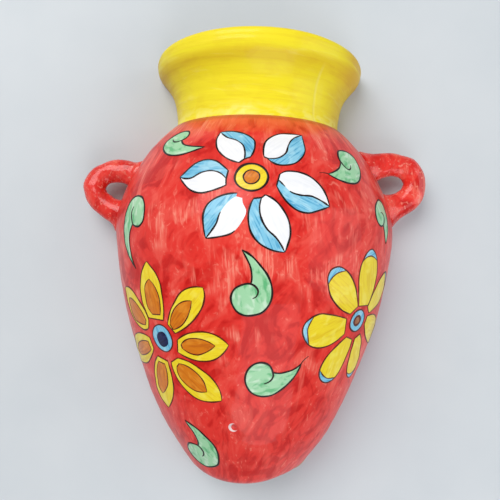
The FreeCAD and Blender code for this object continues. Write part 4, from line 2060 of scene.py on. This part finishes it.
@dataclass(frozen=True)
class Studio:
    """The camera, the pale floor that the pot lies on, and soft daylight from the upper left."""

    camera_place: Triple = (-0.00254, -0.3914, -0.1046)
    camera_roll: float = -1.93
    lens: float = 37.08
    floor_gap: float = 0.0006
    floor_size: float = 4.0
    floor_deep: Colour = (0.56, 0.60, 0.63)
    floor_pale: Colour = (0.64, 0.67, 0.69)
    sky: Colour = (0.88, 0.93, 1.0)
    sky_strength: float = 0.26
    lights: tuple[SoftLight, ...] = (
        SoftLight("key", (-0.50, -1.05, 0.65), 1.0, 15.6, (1.0, 0.99, 0.97)),
        SoftLight("left", (-1.30, -0.30, 0.00), 1.2, 1.6, (1.0, 0.99, 0.98)),
        SoftLight("right", (1.30, -0.60, -0.10), 1.2, 8.0, (0.95, 0.98, 1.0)),
        SoftLight("low", (0.25, -0.75, -1.10), 1.0, 7.0, (0.97, 0.98, 1.0)),
    )

    def build(self) -> None:
        """Set up everything round the pot."""
        self.camera()
        self.floor()
        for light in self.lights:
            light.build()
        world = bpy.data.worlds.new("daylight")
        world.use_nodes = True
        inputs = world.node_tree.nodes["Background"].inputs
        inputs["Color"].default_value = (*self.sky, 1.0)
        inputs["Strength"].default_value = self.sky_strength
        bpy.context.scene.world = world
        bpy.context.scene.view_settings.view_transform = "Standard"

    def camera(self) -> None:
        """Place the camera where the photograph was taken."""
        data = bpy.data.cameras.new("camera")
        data.lens = self.lens
        data.clip_start = 0.01
        camera = bpy.data.objects.new("camera", data)
        camera.location = self.camera_place
        camera.rotation_euler = (math.radians(90), math.radians(self.camera_roll), 0.0)
        bpy.context.scene.collection.objects.link(camera)
        bpy.context.scene.camera = camera

    def floor_finish(self) -> bpy.types.Material:
        """The pale floor's material, which is clear from behind so that the pot's back can be seen.

        Returns:
            The material.
        """
        surface = Surface("pale_floor")
        x, _, height = surface.place()
        cloud = surface.noise(surface.vector(x / 60.0, height / 60.0, 0.0), 3.0)
        colour = surface.mix(cloud, self.floor_deep, self.floor_pale)
        front = surface.node("BsdfPrincipled", {}, {"Base Color": colour, "Roughness": 0.8})
        clear = surface.node("BsdfTransparent", {}, {})
        behind = surface.node("NewGeometry", {}, {}, "Backfacing")
        return surface.close(surface.node("MixShader", {}, {0: behind, 1: front, 2: clear}))

    def floor(self) -> None:
        """Lay the pale floor behind the back."""
        bm = bmesh.new()
        turn = Matrix.Translation((0.0, self.floor_gap, 0.0)) @ Matrix.Rotation(math.pi / 2, 4, "X")
        bmesh.ops.create_grid(bm, x_segments=1, y_segments=1, size=self.floor_size, matrix=turn)
        mesh = bpy.data.meshes.new("floor")
        bm.to_mesh(mesh)
        bm.free()
        mesh.materials.append(self.floor_finish())
        floor = bpy.data.objects.new("floor", mesh)
        floor.visible_diffuse = False
        floor.visible_shadow = False
        bpy.context.scene.collection.objects.link(floor)


LEFT_HANDLE = PulledHandle(
    name="left_handle_pulled",
    node="left_handle",
    side=-1,
    width=16.3,
    depth=13.5,
    route=(
        (88, 216.3), (94.5, 217.2), (104, 217.2), (112, 213.6), (117.2, 205.1), (114.5, 197.5),
        (108, 192.1), (99.4, 186),
    ),
    seed=3.0,
)
RIGHT_HANDLE = PulledHandle(
    name="right_handle_pulled",
    node="right_handle",
    side=1,
    width=17.0,
    depth=13.5,
    route=(
        (81.8, 226.5), (87.7, 228.1), (99.9, 228.7), (110, 225.6), (115.8, 216), (112.6, 206),
        (104.9, 199.8), (97, 195.5),
    ),
    seed=11.0,
    flare=0.5,
    flare_reach=11.0,
)


def main() -> None:
    """Build the pot's pieces, its painted pattern and the studio."""
    logging.basicConfig(level=logging.INFO, format="%(message)s")
    makers: list[Callable[[], object]] = [
        ThrownBelly().build,
        ThrownCollar().build,
        BackSlab().build,
        LEFT_HANDLE.build,
        RIGHT_HANDLE.build,
        SeamCoils().dress,
        TopFlower().build,
        LeftFlower().build,
        RightFlower().build,
        *(scroll.build for scroll in SCROLLS),
        Studio().build,
    ]
    for maker in makers:
        maker()


if __name__ == "__main__":
    main()
